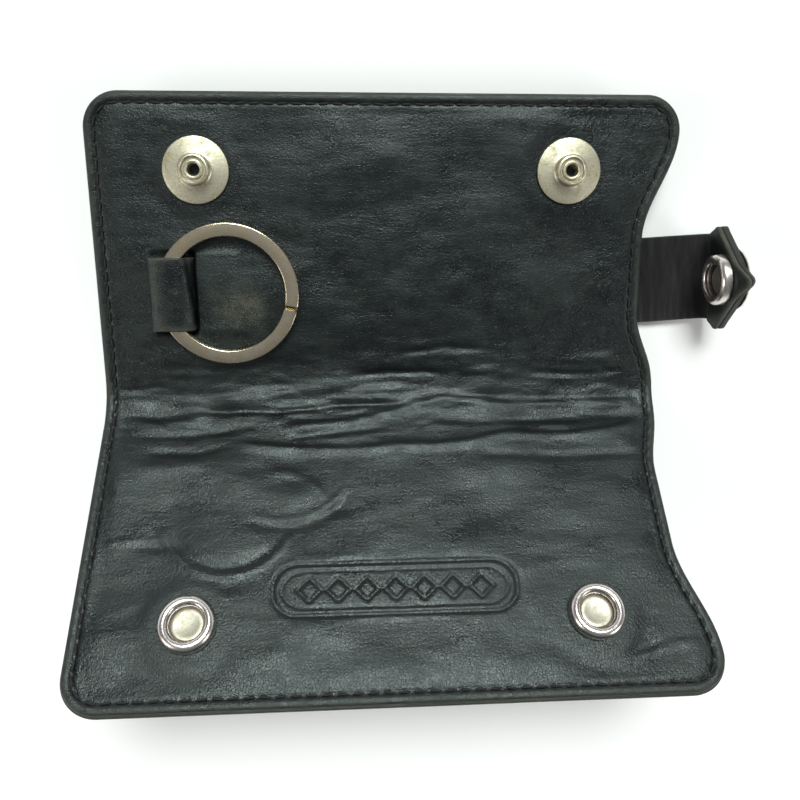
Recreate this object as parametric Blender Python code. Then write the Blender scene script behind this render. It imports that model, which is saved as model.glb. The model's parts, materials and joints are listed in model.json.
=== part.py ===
"""A leather key wallet that folds once and lies open on its fold, in metres, +Z up.

The back panel carries the key ring and the strap, the spine joins it to the front panel, and the strap's
pointed end snaps onto the front when the wallet is closed. Panel positions are x across the wallet and t
along the panel away from its fold line, with the lining's face at height 0.
"""

import math

import bmesh
import bpy
from mathutils import Euler, Matrix, Vector

MM = 0.001

# Leather.
COVER_T = 1.4 * MM
LINING_T = 1.15 * MM
STRAP_T = 1.7 * MM
FACING_T = 1.0 * MM
LOOP_T = 0.8 * MM
FIT = 0.05 * MM  # between two pieces that lie face to face
PANEL_T = COVER_T + FIT + LINING_T

# Panels. The right side is waisted, to leave room for the strap.
LEFT_X = -66.5 * MM
TIP_X = 66.2 * MM
FOLD_X = 63.9 * MM
BACK_WAIST_X = 59.2 * MM
FRONT_WAIST_X = 60.8 * MM
WAIST_FROM, WAIST_TO, TIP_AT = 17.5 * MM, 34.5 * MM, 58.0 * MM
PANEL_REACH = 66.0 * MM
CORNER_R = 8.0 * MM
LINING_INSET = 0.4 * MM
CLOSED_GAP = 4.8 * MM  # between the two linings when the wallet is closed, and the spine's width
OPEN_ANGLE = math.radians(43.8)  # how far the open wallet is from lying flat

# Snaps.
SNAP_T = 49.5 * MM
SNAPS = {"left": -42.5 * MM, "right": 40.5 * MM}
POST_R = 2.1 * MM
TUBE_R = 1.65 * MM
HOLE_CLEARANCE = 0.2 * MM
CLOSING_SOCKET_H = 2.9 * MM
TAB_SOCKET_H = 2.4 * MM
TAB_FLANGE_H = 0.5 * MM
TAB_SNAP_U = 10.0 * MM

# Strap, sewn under the back panel and leaving it past its right side.
STRAP_X = 61.6 * MM
STRAP_AT = 24.75 * MM
STRAP_HALF = 10.0 * MM
STRAP_YAW = math.radians(3.5)
ROOT_L = 32.0 * MM
STRAP_L = FIT + 2 * PANEL_T + CLOSED_GAP + TAB_FLANGE_H + 5 * FIT + TAB_SOCKET_H + FACING_T + FIT

# Key ring and its loop.
LOOP_X = -44.5 * MM
LOOP_AT = 22.6 * MM
LOOP_HALF = 8.2 * MM
RING_Z = 2.2 * MM
RING_OUTER_R = 15.75 * MM
RING_WIRE_W = 3.0 * MM
RING_WIRE_T = 1.05 * MM
RING_SLIT = 0.2 * MM
RING_SAG = math.radians(1.5)
RING_JOG = math.radians(20)
RING_END = math.radians(-12)
RING_AXIS_X = -49.25 * MM

# Where x 0 and the back fold line are, so that the origin is under the middle of the wallet.
PLACE_X = -6.363 * MM
PLACE_Y = -3.091 * MM

SEGMENTS = 24


def strap_corner():
    """Where the strap root's lowest corner is along the panel: the wallet rests on it and on the fold."""
    return STRAP_AT - STRAP_HALF * math.cos(STRAP_YAW) - ROOT_L * math.sin(STRAP_YAW)


UPPER_TILT = math.atan2(STRAP_T + FIT, strap_corner())


# ---- materials -------------------------------------------------------------------------------------


def material(name, colour, roughness, metallic):
    """A plain Principled material."""
    made = bpy.data.materials.new(name)
    made.use_nodes = True
    shader = made.node_tree.nodes["Principled BSDF"]
    shader.inputs["Base Color"].default_value = (*colour, 1)
    shader.inputs["Roughness"].default_value = roughness
    shader.inputs["Metallic"].default_value = metallic
    made.diffuse_color = (*colour, 1)
    return made


def materials():
    """Every finish on the wallet, by name."""
    return {
        "outer_leather": material("outer_leather", (0.018, 0.020, 0.021), 0.45, 0),
        "lining_leather": material("lining_leather", (0.030, 0.036, 0.036), 0.38, 0),
        "strap_leather": material("strap_leather", (0.040, 0.038, 0.036), 0.80, 0),
        "ring_steel": material("ring_steel", (0.66, 0.64, 0.60), 0.20, 1),
        "nickel": material("nickel", (0.72, 0.70, 0.66), 0.22, 1),
        "dull_nickel": material("dull_nickel", (0.56, 0.53, 0.44), 0.45, 1),
        "spring_steel": material("spring_steel", (0.45, 0.45, 0.46), 0.30, 1),
    }


# ---- building --------------------------------------------------------------------------------------


def frame(name, parent, place):
    """An empty that holds the axes of one panel or joint, placed in its parent's axes."""
    empty = bpy.data.objects.new(name, None)
    bpy.context.collection.objects.link(empty)
    empty.parent = parent
    empty.matrix_local = place
    return empty


def finish(name, mesh, parent, place, look, smooth=False):
    """The bmesh as a named object in its parent's axes."""
    bmesh.ops.recalc_face_normals(mesh, faces=mesh.faces)
    data = bpy.data.meshes.new(name)
    mesh.to_mesh(data)
    mesh.free()
    if look:
        data.materials.append(look)
    if smooth:
        data.shade_smooth()
    made = bpy.data.objects.new(name, data)
    bpy.context.collection.objects.link(made)
    made.parent = parent
    made.matrix_local = place
    return made


def plate(name, outline, low, high, parent, look, place=Matrix()):
    """A flat outline, given as (x, y) points, made solid between two heights."""
    mesh = bmesh.new()
    face = mesh.faces.new([mesh.verts.new((x, y, low)) for x, y in outline])
    raised = bmesh.ops.extrude_face_region(mesh, geom=[face])["geom"]
    corners = [item for item in raised if isinstance(item, bmesh.types.BMVert)]
    bmesh.ops.translate(mesh, verts=corners, vec=(0, 0, high - low))
    return finish(name, mesh, parent, place, look)


def lathe(name, profile, parent, place, look):
    """A solid of revolution about Z. The profile is (radius, height) points in millimetres, in order."""
    mesh = bmesh.new()
    points = [mesh.verts.new((r * MM, 0, z * MM)) for r, z in profile]
    edges = [mesh.edges.new((a, b)) for a, b in zip(points, points[1:])]
    if profile[0][0] > 0:
        edges.append(mesh.edges.new((points[-1], points[0])))
    bmesh.ops.spin(
        mesh, geom=points + edges, cent=(0, 0, 0), axis=(0, 0, 1), angle=2 * math.pi, steps=SEGMENTS, use_merge=True
    )
    bmesh.ops.remove_doubles(mesh, verts=mesh.verts, dist=1e-6)
    return finish(name, mesh, parent, place, look, smooth=True)


def box_cutter(name, low, high, parent):
    """A hidden box between two corners."""
    mesh = bmesh.new()
    centre = (Vector(low) + Vector(high)) / 2
    size = Vector(high) - Vector(low)
    bmesh.ops.create_cube(mesh, size=1, matrix=Matrix.Translation(centre) @ Matrix.Diagonal(size).to_4x4())
    return hidden(finish(name, mesh, parent, Matrix(), None))


def hole_cutter(name, radius, x, y, low, high, parent):
    """A hidden cylinder along Z at (x, y)."""
    mesh = bmesh.new()
    bmesh.ops.create_cone(
        mesh,
        cap_ends=True,
        segments=SEGMENTS,
        radius1=radius,
        radius2=radius,
        depth=high - low,
        matrix=Matrix.Translation((x, y, (low + high) / 2)),
    )
    return hidden(finish(name, mesh, parent, Matrix(), None))


def hidden(cutter):
    """Marks a cutter as no part of the wallet."""
    cutter.hide_render = True
    cutter.display_type = "WIRE"
    return cutter


def cut(target, *cutters):
    """Takes each cutter out of the target."""
    for cutter in cutters:
        boolean = target.modifiers.new(cutter.name, "BOOLEAN")
        boolean.operation = "DIFFERENCE"
        boolean.solver = "EXACT"
        boolean.object = cutter


# ---- outlines --------------------------------------------------------------------------------------


def eased(share):
    """0 to 1 with a level start and end."""
    return (1 - math.cos(math.pi * min(max(share, 0), 1))) / 2


def right_side(t, waist):
    """The right side's x at t along a panel: out at the fold and the tip, in at the waist."""
    to_fold = (FOLD_X - waist) * (1 - eased(t / WAIST_FROM))
    to_tip = (TIP_X - waist) * eased((t - WAIST_TO) / (TIP_AT - WAIST_TO))
    return waist + to_fold + to_tip


def arc(centre, radius, start, end, steps):
    """Points round an arc, with both ends. Angles are in degrees."""
    turns = [math.radians(start + (end - start) * i / steps) for i in range(steps + 1)]
    return [(centre[0] + radius * math.cos(a), centre[1] + radius * math.sin(a)) for a in turns]


def panel_outline(waist, side, inset=0.0):
    """A panel's outline. Side is +1 for the back panel, which runs to +t, and -1 for the front."""
    along = [FIT + (TIP_AT - FIT) * i / 22 for i in range(23)]
    radius = CORNER_R - inset
    corner_t = PANEL_REACH - CORNER_R
    points = [(right_side(t, waist) - inset, t) for t in along]
    points += arc((TIP_X - CORNER_R, corner_t), radius, 0, 90, 6)[1:]
    points += arc((LEFT_X + CORNER_R, corner_t), radius, 90, 180, 6)
    points.append((LEFT_X + inset, FIT))
    return [(x, side * t) for x, t in points]


def tab_outline(start):
    """The tab end, cut to a point, from start along the strap's direction to its tip."""
    shoulder, half, tip = 6.0 * MM, 11.7 * MM, 18.5 * MM
    upper = [(start, STRAP_HALF), (2.0 * MM, STRAP_HALF)] if start < 2.0 * MM else [(start, STRAP_HALF)]
    upper += [(shoulder - 1.2 * MM, half - 0.5 * MM), (shoulder, half), (shoulder + 1.0 * MM, half - 0.8 * MM)]
    upper += [(tip - 1.0 * MM, 1.3 * MM)]
    return upper + [(tip, 0)] + [(x, -y) for x, y in reversed(upper)]


# ---- hardware --------------------------------------------------------------------------------------


def stud(name, flange_r, flange_h, rise, place, parent, look):
    """The stud half of a snap: a flange and a hollow boss, as tall as rise, with a waist for the ring spring."""
    boss = [(4.0, 0.08), (3.2, 0.23), (3.2, 0.46), (3.45, 0.69), (3.3, 0.92), (2.9, 1.0), (2.65, 0.94), (2.55, 0.77)]
    foot = [(1.85, flange_h + 0.77 * rise), (1.85, 0.05), (flange_r, 0.05), (flange_r, flange_h - 0.25)]
    return lathe(name, foot + [(r, flange_h + share * rise) for r, share in boss], parent, place, look)


def eyelet(name, stack, base_r, base_t, floor, place, parent, look):
    """The tubular eyelet that clinches a stud: a base under the leather, a tube, and an end flared over the floor."""
    top, bottom = floor + 0.05, -stack / MM - 0.05
    base = [(0, bottom - base_t), (base_r - 0.5, bottom - base_t), (base_r, bottom - base_t * 0.6), (base_r, bottom)]
    tube = [(1.65, bottom), (1.65, top), (2.1, top + 0.05), (2.1, top + 0.25), (1.8, top + 0.4), (1.4, top + 0.3)]
    bore = [(1.3, top), (1.3, bottom + 0.1), (0, bottom + 0.1)]
    return lathe(name, base + tube + bore, parent, place, look)


def socket(name, height, floor, place, parent, look):
    """The socket half of a snap: a cup with a rolled rim, a floor and a groove for the ring spring."""
    outer = [(5.7, 0.05), (5.7, height - 1.2), (5.45, height - 0.45), (5.0, height - 0.05), (4.6, height)]
    mouth = [(4.1, height - 0.05), (3.7, height - 0.4), (3.7, height - 0.7)]
    groove = [(4.6, height - 0.8), (4.6, height - 1.6), (3.6, height - 1.65)]
    inner = groove + [(3.6, floor), (2.3, floor), (2.3, 0.05)]
    return lathe(name, outer + mouth + inner, parent, place, look)


def ring_spring(name, height, place, parent, look):
    """The round wire spring in a socket's groove."""
    turns = [math.radians(60 * i) for i in range(6)]
    profile = [(4.1 + 0.3 * math.cos(a), height - 1.2 + 0.3 * math.sin(a)) for a in turns]
    return lathe(name, profile, parent, place, look)


def cap(name, stack, floor, place, parent, look):
    """The hollow domed cap outside the leather, its post, and the dished head that clinches the socket's floor."""
    back, low = -stack / MM - 0.05, floor + 0.05
    dome = [(0, back - 1.6), (2.6, back - 1.5), (4.9, back - 1.15), (6.4, back - 0.65), (7.0, back - 0.2), (6.9, back)]
    hollow = [(6.3, back), (6.0, back - 0.3), (2.6, back - 0.9), (2.1, back - 0.8)]
    head = [(2.1, low), (3.1, low + 0.05), (3.2, low + 0.15), (2.9, low + 0.25), (1.6, low + 0.1), (0, low + 0.05)]
    return lathe(name, dome + hollow + head, parent, place, look)


def ring_section(angle, height, half_w):
    """The wire's eight-sided section at one place round the ring, with its edges eased."""
    middle, ease, half_t = RING_OUTER_R - RING_WIRE_W / 2, 0.22 * MM, RING_WIRE_T / 2
    corners = [(half_w, half_t - ease), (half_w - ease, half_t), (ease - half_w, half_t), (-half_w, half_t - ease)]
    corners += [(-half_w, ease - half_t), (ease - half_w, -half_t), (half_w - ease, -half_t), (half_w, ease - half_t)]
    return [((middle + u) * math.cos(angle), (middle + u) * math.sin(angle), height + v) for u, v in corners]


def key_ring(parent, place, look):
    """A split ring: flat wire wound two turns, stepping from the lower turn to the upper one over a jog."""
    end_gap = math.radians(2.0)
    wound = 4 * math.pi - RING_JOG - end_gap
    steps = 84
    low = -(RING_WIRE_T + RING_SLIT) / 2
    mesh = bmesh.new()
    sections = []
    for i in range(steps + 1):
        along = wound * i / steps
        height = low - 2 * low * eased((along - (2 * math.pi - RING_JOG - end_gap)) / RING_JOG)
        half_w = RING_WIRE_W / 2 * (0.72 if i in (0, steps) else 1)
        points = ring_section(RING_END + wound - along, height, half_w)
        sections.append([mesh.verts.new(point) for point in points])
    for first, second in zip(sections, sections[1:]):
        for j in range(8):
            mesh.faces.new((first[j], first[(j + 1) % 8], second[(j + 1) % 8], second[j]))
    mesh.faces.new(sections[0])
    mesh.faces.new(sections[-1])
    return finish("key_ring", mesh, parent, place, look, smooth=True)


# ---- the wallet ------------------------------------------------------------------------------------


def at(x, y, z):
    """A place in the parent's axes, unturned."""
    return Matrix.Translation((x, y, z))


def facing_out(x, y, z):
    """A place whose Z points out of the cover's outer face."""
    return at(x, y, z) @ Matrix.Rotation(math.pi, 4, "X")


def panel(name, waist, side, parent, looks):
    """A panel's cover and lining."""
    cover = plate(
        f"cover_{name}", panel_outline(waist, side), -PANEL_T, COVER_T - PANEL_T, parent, looks["outer_leather"]
    )
    lining = plate(
        f"lining_{name}", panel_outline(waist, side, LINING_INSET), -LINING_T, 0, parent, looks["lining_leather"]
    )
    return cover, lining


def spine(parent, looks):
    """The strip of cover and lining between the two fold lines."""
    half = CLOSED_GAP / 2 - FIT
    outer = [(LEFT_X, -half), (FOLD_X, -half), (FOLD_X, half), (LEFT_X, half)]
    low, high = LEFT_X + LINING_INSET, FOLD_X - LINING_INSET
    inner = [(low, -half), (high, -half), (high, half), (low, half)]
    plate("cover_spine", outer, -PANEL_T, COVER_T - PANEL_T, parent, looks["outer_leather"])
    plate("lining_spine", inner, -LINING_T, 0, parent, looks["lining_leather"])


def back_panel(parent, looks):
    """The back panel, with its two studs."""
    cover, lining = panel("back", BACK_WAIST_X, 1, parent, looks)
    for side, x in SNAPS.items():
        place = at(x, SNAP_T, 0)
        stud(f"closing_stud_{side}", 7.45, 0.7, 2.6, place, parent, looks["dull_nickel"])
        eyelet(f"closing_eyelet_{side}", PANEL_T, 5.0, 0.9, 2.7, place, parent, looks["nickel"])
        hole = hole_cutter(f"cut_stud_{side}", TUBE_R + HOLE_CLEARANCE, x, SNAP_T, -0.01, 0.01, parent)
        cut(cover, hole)
        cut(lining, hole)
    return cover, lining


def front_panel(parent, looks):
    """The front panel, with its two sockets inside and the tab's stud outside."""
    cover, lining = panel("front", FRONT_WAIST_X, -1, parent, looks)
    for side, x in SNAPS.items():
        place = at(x, -SNAP_T, 0)
        cap(f"closing_cap_{side}", PANEL_T, 0.65, place, parent, looks["nickel"])
        socket(f"closing_socket_{side}", CLOSING_SOCKET_H / MM, 0.65, place, parent, looks["nickel"])
        ring_spring(f"closing_spring_{side}", CLOSING_SOCKET_H / MM, place, parent, looks["spring_steel"])
        hole = hole_cutter(f"cut_cap_{side}", POST_R + HOLE_CLEARANCE, x, -SNAP_T, -0.01, 0.01, parent)
        cut(cover, hole)
        cut(lining, hole)
    x = STRAP_X - TAB_SNAP_U * math.cos(STRAP_YAW)
    y = TAB_SNAP_U * math.sin(STRAP_YAW) - STRAP_AT
    place = facing_out(x, y, -PANEL_T)
    pocket = 0.6 * MM
    stud("tab_stud", 5.5, TAB_FLANGE_H / MM, 1.65, place, parent, looks["nickel"])
    eyelet("tab_eyelet", COVER_T - pocket, 4.0, 0.5, 1.78, place, parent, looks["nickel"])
    hole = hole_cutter("cut_tab_stud", TUBE_R + HOLE_CLEARANCE, x, y, -0.01, 0.01 - LINING_T, parent)
    seat = hole_cutter("cut_tab_eyelet", 4.2 * MM, x, y, -LINING_T - FIT - pocket, 0, parent)
    cut(cover, hole, seat)


def key_loop(parent, cover, lining, looks):
    """The leather loop round the key ring: a fold above the lining, and a tail held under it."""
    thick = RING_Z - FIT
    inner = thick - LOOP_T
    fold = [(-7.6 + 1.5 * math.cos(a), thick / MM * math.sin(a)) for a in map(math.radians, range(90, 271, 30))]
    outline = [(x * MM, z * MM) for x, z in fold]
    outline += [(-1.5 * MM, -thick), (-0.15 * MM, -0.85 * MM), (-0.15 * MM, 0.85 * MM), (-1.5 * MM, thick)]
    along = Matrix.Rotation(math.pi / 2, 4, "X")
    loop = plate("key_loop", outline, -LOOP_HALF, LOOP_HALF, parent, looks["lining_leather"])
    loop.matrix_local = at(LOOP_X, LOOP_AT, RING_Z) @ along
    channel = box_cutter("cut_loop", (-8.2 * MM, -inner, -0.01), (-1.3 * MM, inner, 0.01), loop)
    cut(loop, channel)

    half, reach = 0.85 * MM, 9.5 * MM
    bottom, top = -LINING_T - 0.95 * MM, -LINING_T - 0.1 * MM
    tail = [(-half, bottom), (reach, bottom), (reach, top), (half, top)]
    tail += [(half, 0.25 * MM), (0, 1.05 * MM), (-half, 0.25 * MM)]
    tail_half = LOOP_HALF + 0.4 * MM
    made = plate("key_loop_tail", tail, -tail_half, tail_half, parent, looks["lining_leather"])
    made.matrix_local = at(LOOP_X, LOOP_AT, 0) @ along

    slit = half + 0.1 * MM
    ends = LOOP_AT - tail_half - 0.2 * MM, LOOP_AT + tail_half + 0.2 * MM
    cut(lining, box_cutter("cut_slit", (LOOP_X - slit, ends[0], -0.01), (LOOP_X + slit, ends[1], 0.01), parent))
    low, high = (LOOP_X - slit, ends[0], bottom - FIT), (LOOP_X + reach + 0.2 * MM, ends[1], 0)
    cut(cover, box_cutter("cut_tail", low, high, parent))
    low, high = (RING_AXIS_X - 2.7 * MM, LOOP_AT - 6.5 * MM, -0.01), (RING_AXIS_X + 2.7 * MM, LOOP_AT + 6.5 * MM, 0.01)
    cut(lining, box_cutter("cut_relief", low, high, parent))


def strap(back, looks):
    """The strap in three lengths, sewn root, free strap and pointed end, and the end's snap."""
    root_axes = frame(
        "strap_root_axes", back, at(STRAP_X, STRAP_AT, -PANEL_T - FIT) @ Matrix.Rotation(STRAP_YAW, 4, "Z")
    )
    root = [(-ROOT_L, -STRAP_HALF), (-FIT, -STRAP_HALF), (-FIT, STRAP_HALF), (-ROOT_L, STRAP_HALF)]
    plate("strap_root", root, -STRAP_T, 0, root_axes, looks["strap_leather"])

    strap_axes = frame("strap_axes", root_axes, Matrix())
    free = [(FIT, -STRAP_HALF), (STRAP_L - FIT, -STRAP_HALF), (STRAP_L - FIT, STRAP_HALF), (FIT, STRAP_HALF)]
    plate("strap", free, -STRAP_T, 0, strap_axes, looks["strap_leather"])

    tab_axes = frame("tab_axes", strap_axes, at(STRAP_L, 0, 0) @ Matrix.Rotation(-math.pi / 2, 4, "Y"))
    outer = plate("tab_end", tab_outline(FIT), -STRAP_T, 0, tab_axes, looks["outer_leather"])
    facing_top = FIT + FACING_T
    facing = plate("tab_end_facing", tab_outline(2.0 * MM), FIT, facing_top, tab_axes, looks["strap_leather"])
    hole = hole_cutter("cut_tab_cap", POST_R + HOLE_CLEARANCE, TAB_SNAP_U, 0, -0.01, 0.01, tab_axes)
    cut(outer, hole)
    cut(facing, hole)
    place = at(TAB_SNAP_U, 0, facing_top)
    cap("tab_cap", STRAP_T + facing_top, 0.4, place, tab_axes, looks["nickel"])
    socket("tab_socket", TAB_SOCKET_H / MM, 0.4, place, tab_axes, looks["nickel"])
    ring_spring("tab_spring", TAB_SOCKET_H / MM, place, tab_axes, looks["spring_steel"])


def ring_axes(back):
    """The key ring's axes, with its origin on the line that it swings about in the loop."""
    return frame("ring_axes", back, at(RING_AXIS_X, LOOP_AT, RING_Z) @ Matrix.Rotation(RING_SAG, 4, "Y"))


def build():
    """Builds the wallet, resting on its fold and on the corner of the strap's root."""
    for old in list(bpy.data.objects):
        bpy.data.objects.remove(old, do_unlink=True)
    looks = materials()
    half = OPEN_ANGLE / 2
    tilt = Euler((UPPER_TILT, 0, 0)).to_matrix().to_4x4()
    fold_z = PANEL_T * math.cos(UPPER_TILT)
    back = frame("back_axes", None, at(PLACE_X, PLACE_Y, fold_z) @ tilt)
    spine_turn = Matrix.Rotation(-half, 4, "X")
    spine_start = frame("spine_axes", back, spine_turn)
    front = frame("front_axes", spine_start, at(0, -CLOSED_GAP, 0) @ spine_turn)
    spine(frame("spine_middle", spine_start, at(0, -CLOSED_GAP / 2, 0)), looks)
    cover, lining = back_panel(back, looks)
    front_panel(front, looks)
    key_loop(back, cover, lining, looks)
    swing = ring_axes(back)
    centre = RING_OUTER_R - RING_WIRE_W
    key_ring(swing, at(centre, 0, 0), looks["ring_steel"])
    strap(back, looks)


build()
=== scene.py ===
"""The looks of an open black leather key wallet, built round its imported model.

Leather is laid out flat, in millimetres: x runs across the wallet, s runs along it from the middle of
the fold (the back panel is positive, the front negative), and height is measured out of the lining's
face. A Course then carries those flat places onto the open wallet. Turned metal is drawn as
(radius, height) profiles.
"""

import json
import logging
import math
from dataclasses import dataclass
from enum import Enum
from functools import partial
from typing import Any, Callable, Sequence

import bmesh
import bpy
import numpy as np
from mathutils import Matrix, Vector, noise


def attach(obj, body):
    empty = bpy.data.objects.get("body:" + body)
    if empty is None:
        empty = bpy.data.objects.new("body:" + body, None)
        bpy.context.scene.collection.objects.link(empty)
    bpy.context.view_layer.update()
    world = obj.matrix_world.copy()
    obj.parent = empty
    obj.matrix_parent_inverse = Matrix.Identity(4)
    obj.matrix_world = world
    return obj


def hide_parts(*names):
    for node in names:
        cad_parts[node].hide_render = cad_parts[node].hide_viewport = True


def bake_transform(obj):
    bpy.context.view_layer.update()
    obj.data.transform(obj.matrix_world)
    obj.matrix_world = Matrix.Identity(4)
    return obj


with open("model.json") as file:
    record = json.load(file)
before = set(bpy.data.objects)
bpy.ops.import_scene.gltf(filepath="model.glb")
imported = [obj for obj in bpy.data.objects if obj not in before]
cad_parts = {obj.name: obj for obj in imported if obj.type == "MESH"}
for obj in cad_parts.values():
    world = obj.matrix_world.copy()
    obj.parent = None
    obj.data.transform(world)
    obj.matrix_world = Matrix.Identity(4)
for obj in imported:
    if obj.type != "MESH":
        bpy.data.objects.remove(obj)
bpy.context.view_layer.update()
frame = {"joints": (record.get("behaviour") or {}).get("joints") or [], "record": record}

MM = 0.001
LOG = logging.getLogger("wallet")

# Sizes that several parts share, in millimetres. SNAP_T and LOOP_T are distances from a hinge line.
SNAP_X = {"left": -42.5, "right": 40.5}
SNAP_T = 49.5
LOOP_X, LOOP_T = -44.5, 22.6
COVER_T, LINING_T, FIT = 1.4, 1.15, 0.05
PANEL_T = COVER_T + FIT + LINING_T
SEAM_AT, SEAM_PITCH = 2.2, 3.0

Array = np.ndarray
Profile = Sequence[tuple[float, float]]
Relief = Callable[[Array, Array, Array], Array]
Colour = tuple[float, float, float, float]
Place = tuple[float, float, float]


def smooth(value: Array) -> Array:
    """0 to 1 with a level start and end."""
    held = np.clip(value, 0.0, 1.0)
    return held * held * (3.0 - 2.0 * held)


def eased(share: Array) -> Array:
    """0 to 1 along half a cosine wave."""
    return (1.0 - np.cos(np.pi * np.clip(share, 0.0, 1.0))) / 2.0


def ripple(x: Array, s: Array, long: float, wide: float, layer: float) -> Array:
    """Cloudy unevenness from -1 to 1.

    Args:
        x: Places across the leather.
        s: Places along the leather.
        long: Size of one cloud across the leather.
        wide: Size of one cloud along the leather.
        layer: Picks one of the many patterns.

    Returns:
        One number for each place.
    """
    flat = [noise.noise(Vector((a / long, b / wide, layer))) for a, b in zip(x.ravel(), s.ravel())]
    return np.array(flat).reshape(x.shape)


# ---- where things are ------------------------------------------------------------------------------


@dataclass(frozen=True)
class Axes:
    """The place and turn of a panel, a strap or a snap, in metres."""

    matrix: Matrix

    def moved(self, x: float, y: float, z: float) -> "Axes":
        """The same directions from another point, given in millimetres."""
        return Axes(self.matrix @ Matrix.Translation(Vector((x, y, z)) * MM))

    def turned(self, degrees: float, about: str) -> "Axes":
        """The same point with its directions turned about one of its own axes."""
        return Axes(self.matrix @ Matrix.Rotation(math.radians(degrees), 4, about))

    def point(self, x: float, y: float, z: float = 0.0) -> Vector:
        """A point given in millimetres, in metres of the wallet."""
        return self.matrix @ (Vector((x, y, z)) * MM)


def joint_at(name: str) -> Vector:
    """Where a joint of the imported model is."""
    return Vector(next(joint["pos_m"] for joint in frame["joints"] if joint["name"] == name))


@dataclass(frozen=True)
class Frames:
    """The axes of every panel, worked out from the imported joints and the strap's mount."""

    half_open: float = 21.9  # from one panel to the spine, when open
    strap_yaw: float = 3.5
    ring_sag: float = 1.5

    @property
    def tilt(self) -> float:
        """How far the back panel rises from level, in degrees."""
        axis = frame["record"]["mounts"][0]["axis"]
        return math.degrees(math.atan2(axis[1], -axis[2]))

    def hinge(self, joint: str, degrees: float) -> Axes:
        """Axes at a fold joint, turned about the fold."""
        return Axes(Matrix.Translation(joint_at(joint))).turned(degrees, "X")

    @property
    def back(self) -> Axes:
        """The back panel, which runs to +y."""
        return self.hinge("fold_back", self.tilt)

    @property
    def front(self) -> Axes:
        """The front panel, which runs to -y."""
        return self.hinge("fold_front", self.tilt - 2.0 * self.half_open)

    @property
    def strap(self) -> Axes:
        """The free strap, from where it leaves the back panel."""
        turned = self.hinge("fold_back", self.tilt).turned(self.strap_yaw, "Z")
        return Axes(Matrix.Translation(joint_at("strap_bend")) @ turned.matrix.to_3x3().to_4x4())

    @property
    def tab(self) -> Axes:
        """The strap's folded-up end."""
        turned = self.strap.turned(-90.0, "Y")
        return Axes(Matrix.Translation(joint_at("tab_bend")) @ turned.matrix.to_3x3().to_4x4())

    @property
    def ring(self) -> Axes:
        """The line that the key ring swings about."""
        turned = self.back.turned(self.ring_sag, "Y")
        return Axes(Matrix.Translation(joint_at("ring_swing")) @ turned.matrix.to_3x3().to_4x4())


@dataclass(frozen=True)
class Course:
    """A curve in one plane that leather follows, by distance along it.

    origin, across, along and up are in the wallet's axes; points are (along, up) in millimetres.
    """

    points: Array
    zero: float
    origin: Vector
    across: Vector
    along: Vector
    up: Vector

    @staticmethod
    def spline(points: Profile, steps: int = 14) -> Array:
        """A smooth curve through the points, closely sampled.

        Args:
            points: The (along, up) points to pass through.
            steps: Samples from one point to the next.

        Returns:
            The sampled points, one row each.
        """
        given = np.array(points, float)
        padded = np.vstack([2 * given[0] - given[1], given, 2 * given[-1] - given[-2]])
        found = []
        for a, b, c, d in zip(padded, padded[1:], padded[2:], padded[3:]):
            for u in np.arange(steps) / steps:
                bent = (2 * a - 5 * b + 4 * c - d) * u**2 + (3 * b - a - 3 * c + d) * u**3
                found.append(0.5 * (2 * b + (c - a) * u + bent))
        return np.array(found + [given[-1]])

    @property
    def length(self) -> float:
        """The curve's whole length, in millimetres."""
        return np.hypot(*np.diff(self.points, axis=0).T).sum()

    @staticmethod
    def corner(first: Array, middle: Array, last: Array, steps: int = 60) -> Array:
        """A bend from first to last that starts and ends along the lines to middle."""
        u = np.linspace(0.0, 1.0, steps + 1)[:, None]
        return (1 - u) ** 2 * first + 2 * u * (1 - u) * middle + u**2 * last

    def carry(self, x: Array, s: Array, height: Array) -> Array:
        """Carries flat places onto the curve.

        Args:
            x: Places across the leather, in millimetres.
            s: Places along it.
            height: Heights above it.

        Returns:
            Points in metres of the wallet, one row each.
        """
        steps = np.diff(self.points, axis=0)
        lengths = np.hypot(*steps.T)
        reach = np.concatenate([[0.0], np.cumsum(lengths)]) - self.zero
        ways = steps / lengths[:, None]
        middles = (reach[1:] + reach[:-1]) / 2
        way = np.stack([np.interp(s, middles, ways[:, i]) for i in (0, 1)], axis=1)
        way /= np.hypot(*way.T)[:, None]
        at = np.stack([np.interp(s, reach, self.points[:, i]) for i in (0, 1)], axis=1)
        before, after = np.minimum(s - reach[0], 0), np.maximum(s - reach[-1], 0)
        at += before[:, None] * ways[0] + after[:, None] * ways[-1]
        at += height[:, None] * np.stack([-way[:, 1], way[:, 0]], axis=1)
        flat = np.stack([x, at[:, 0], at[:, 1]], axis=1) * MM
        turn = np.array([self.across, self.along, self.up])
        return np.array(self.origin) + flat @ turn

    def point(self, x: float, s: float, height: float = 0.0) -> Vector:
        """One flat place, carried onto the curve."""
        return Vector(self.carry(np.array([x]), np.array([s]), np.array([height]))[0])


# ---- finishes --------------------------------------------------------------------------------------


class Slot(Enum):
    """The record's material slots."""

    OUTER = "outer_leather"
    LINING = "lining_leather"
    STRAP = "strap_leather"
    RING = "ring_steel"
    NICKEL = "nickel"
    DULL = "dull_nickel"
    SPRING = "spring_steel"


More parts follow.
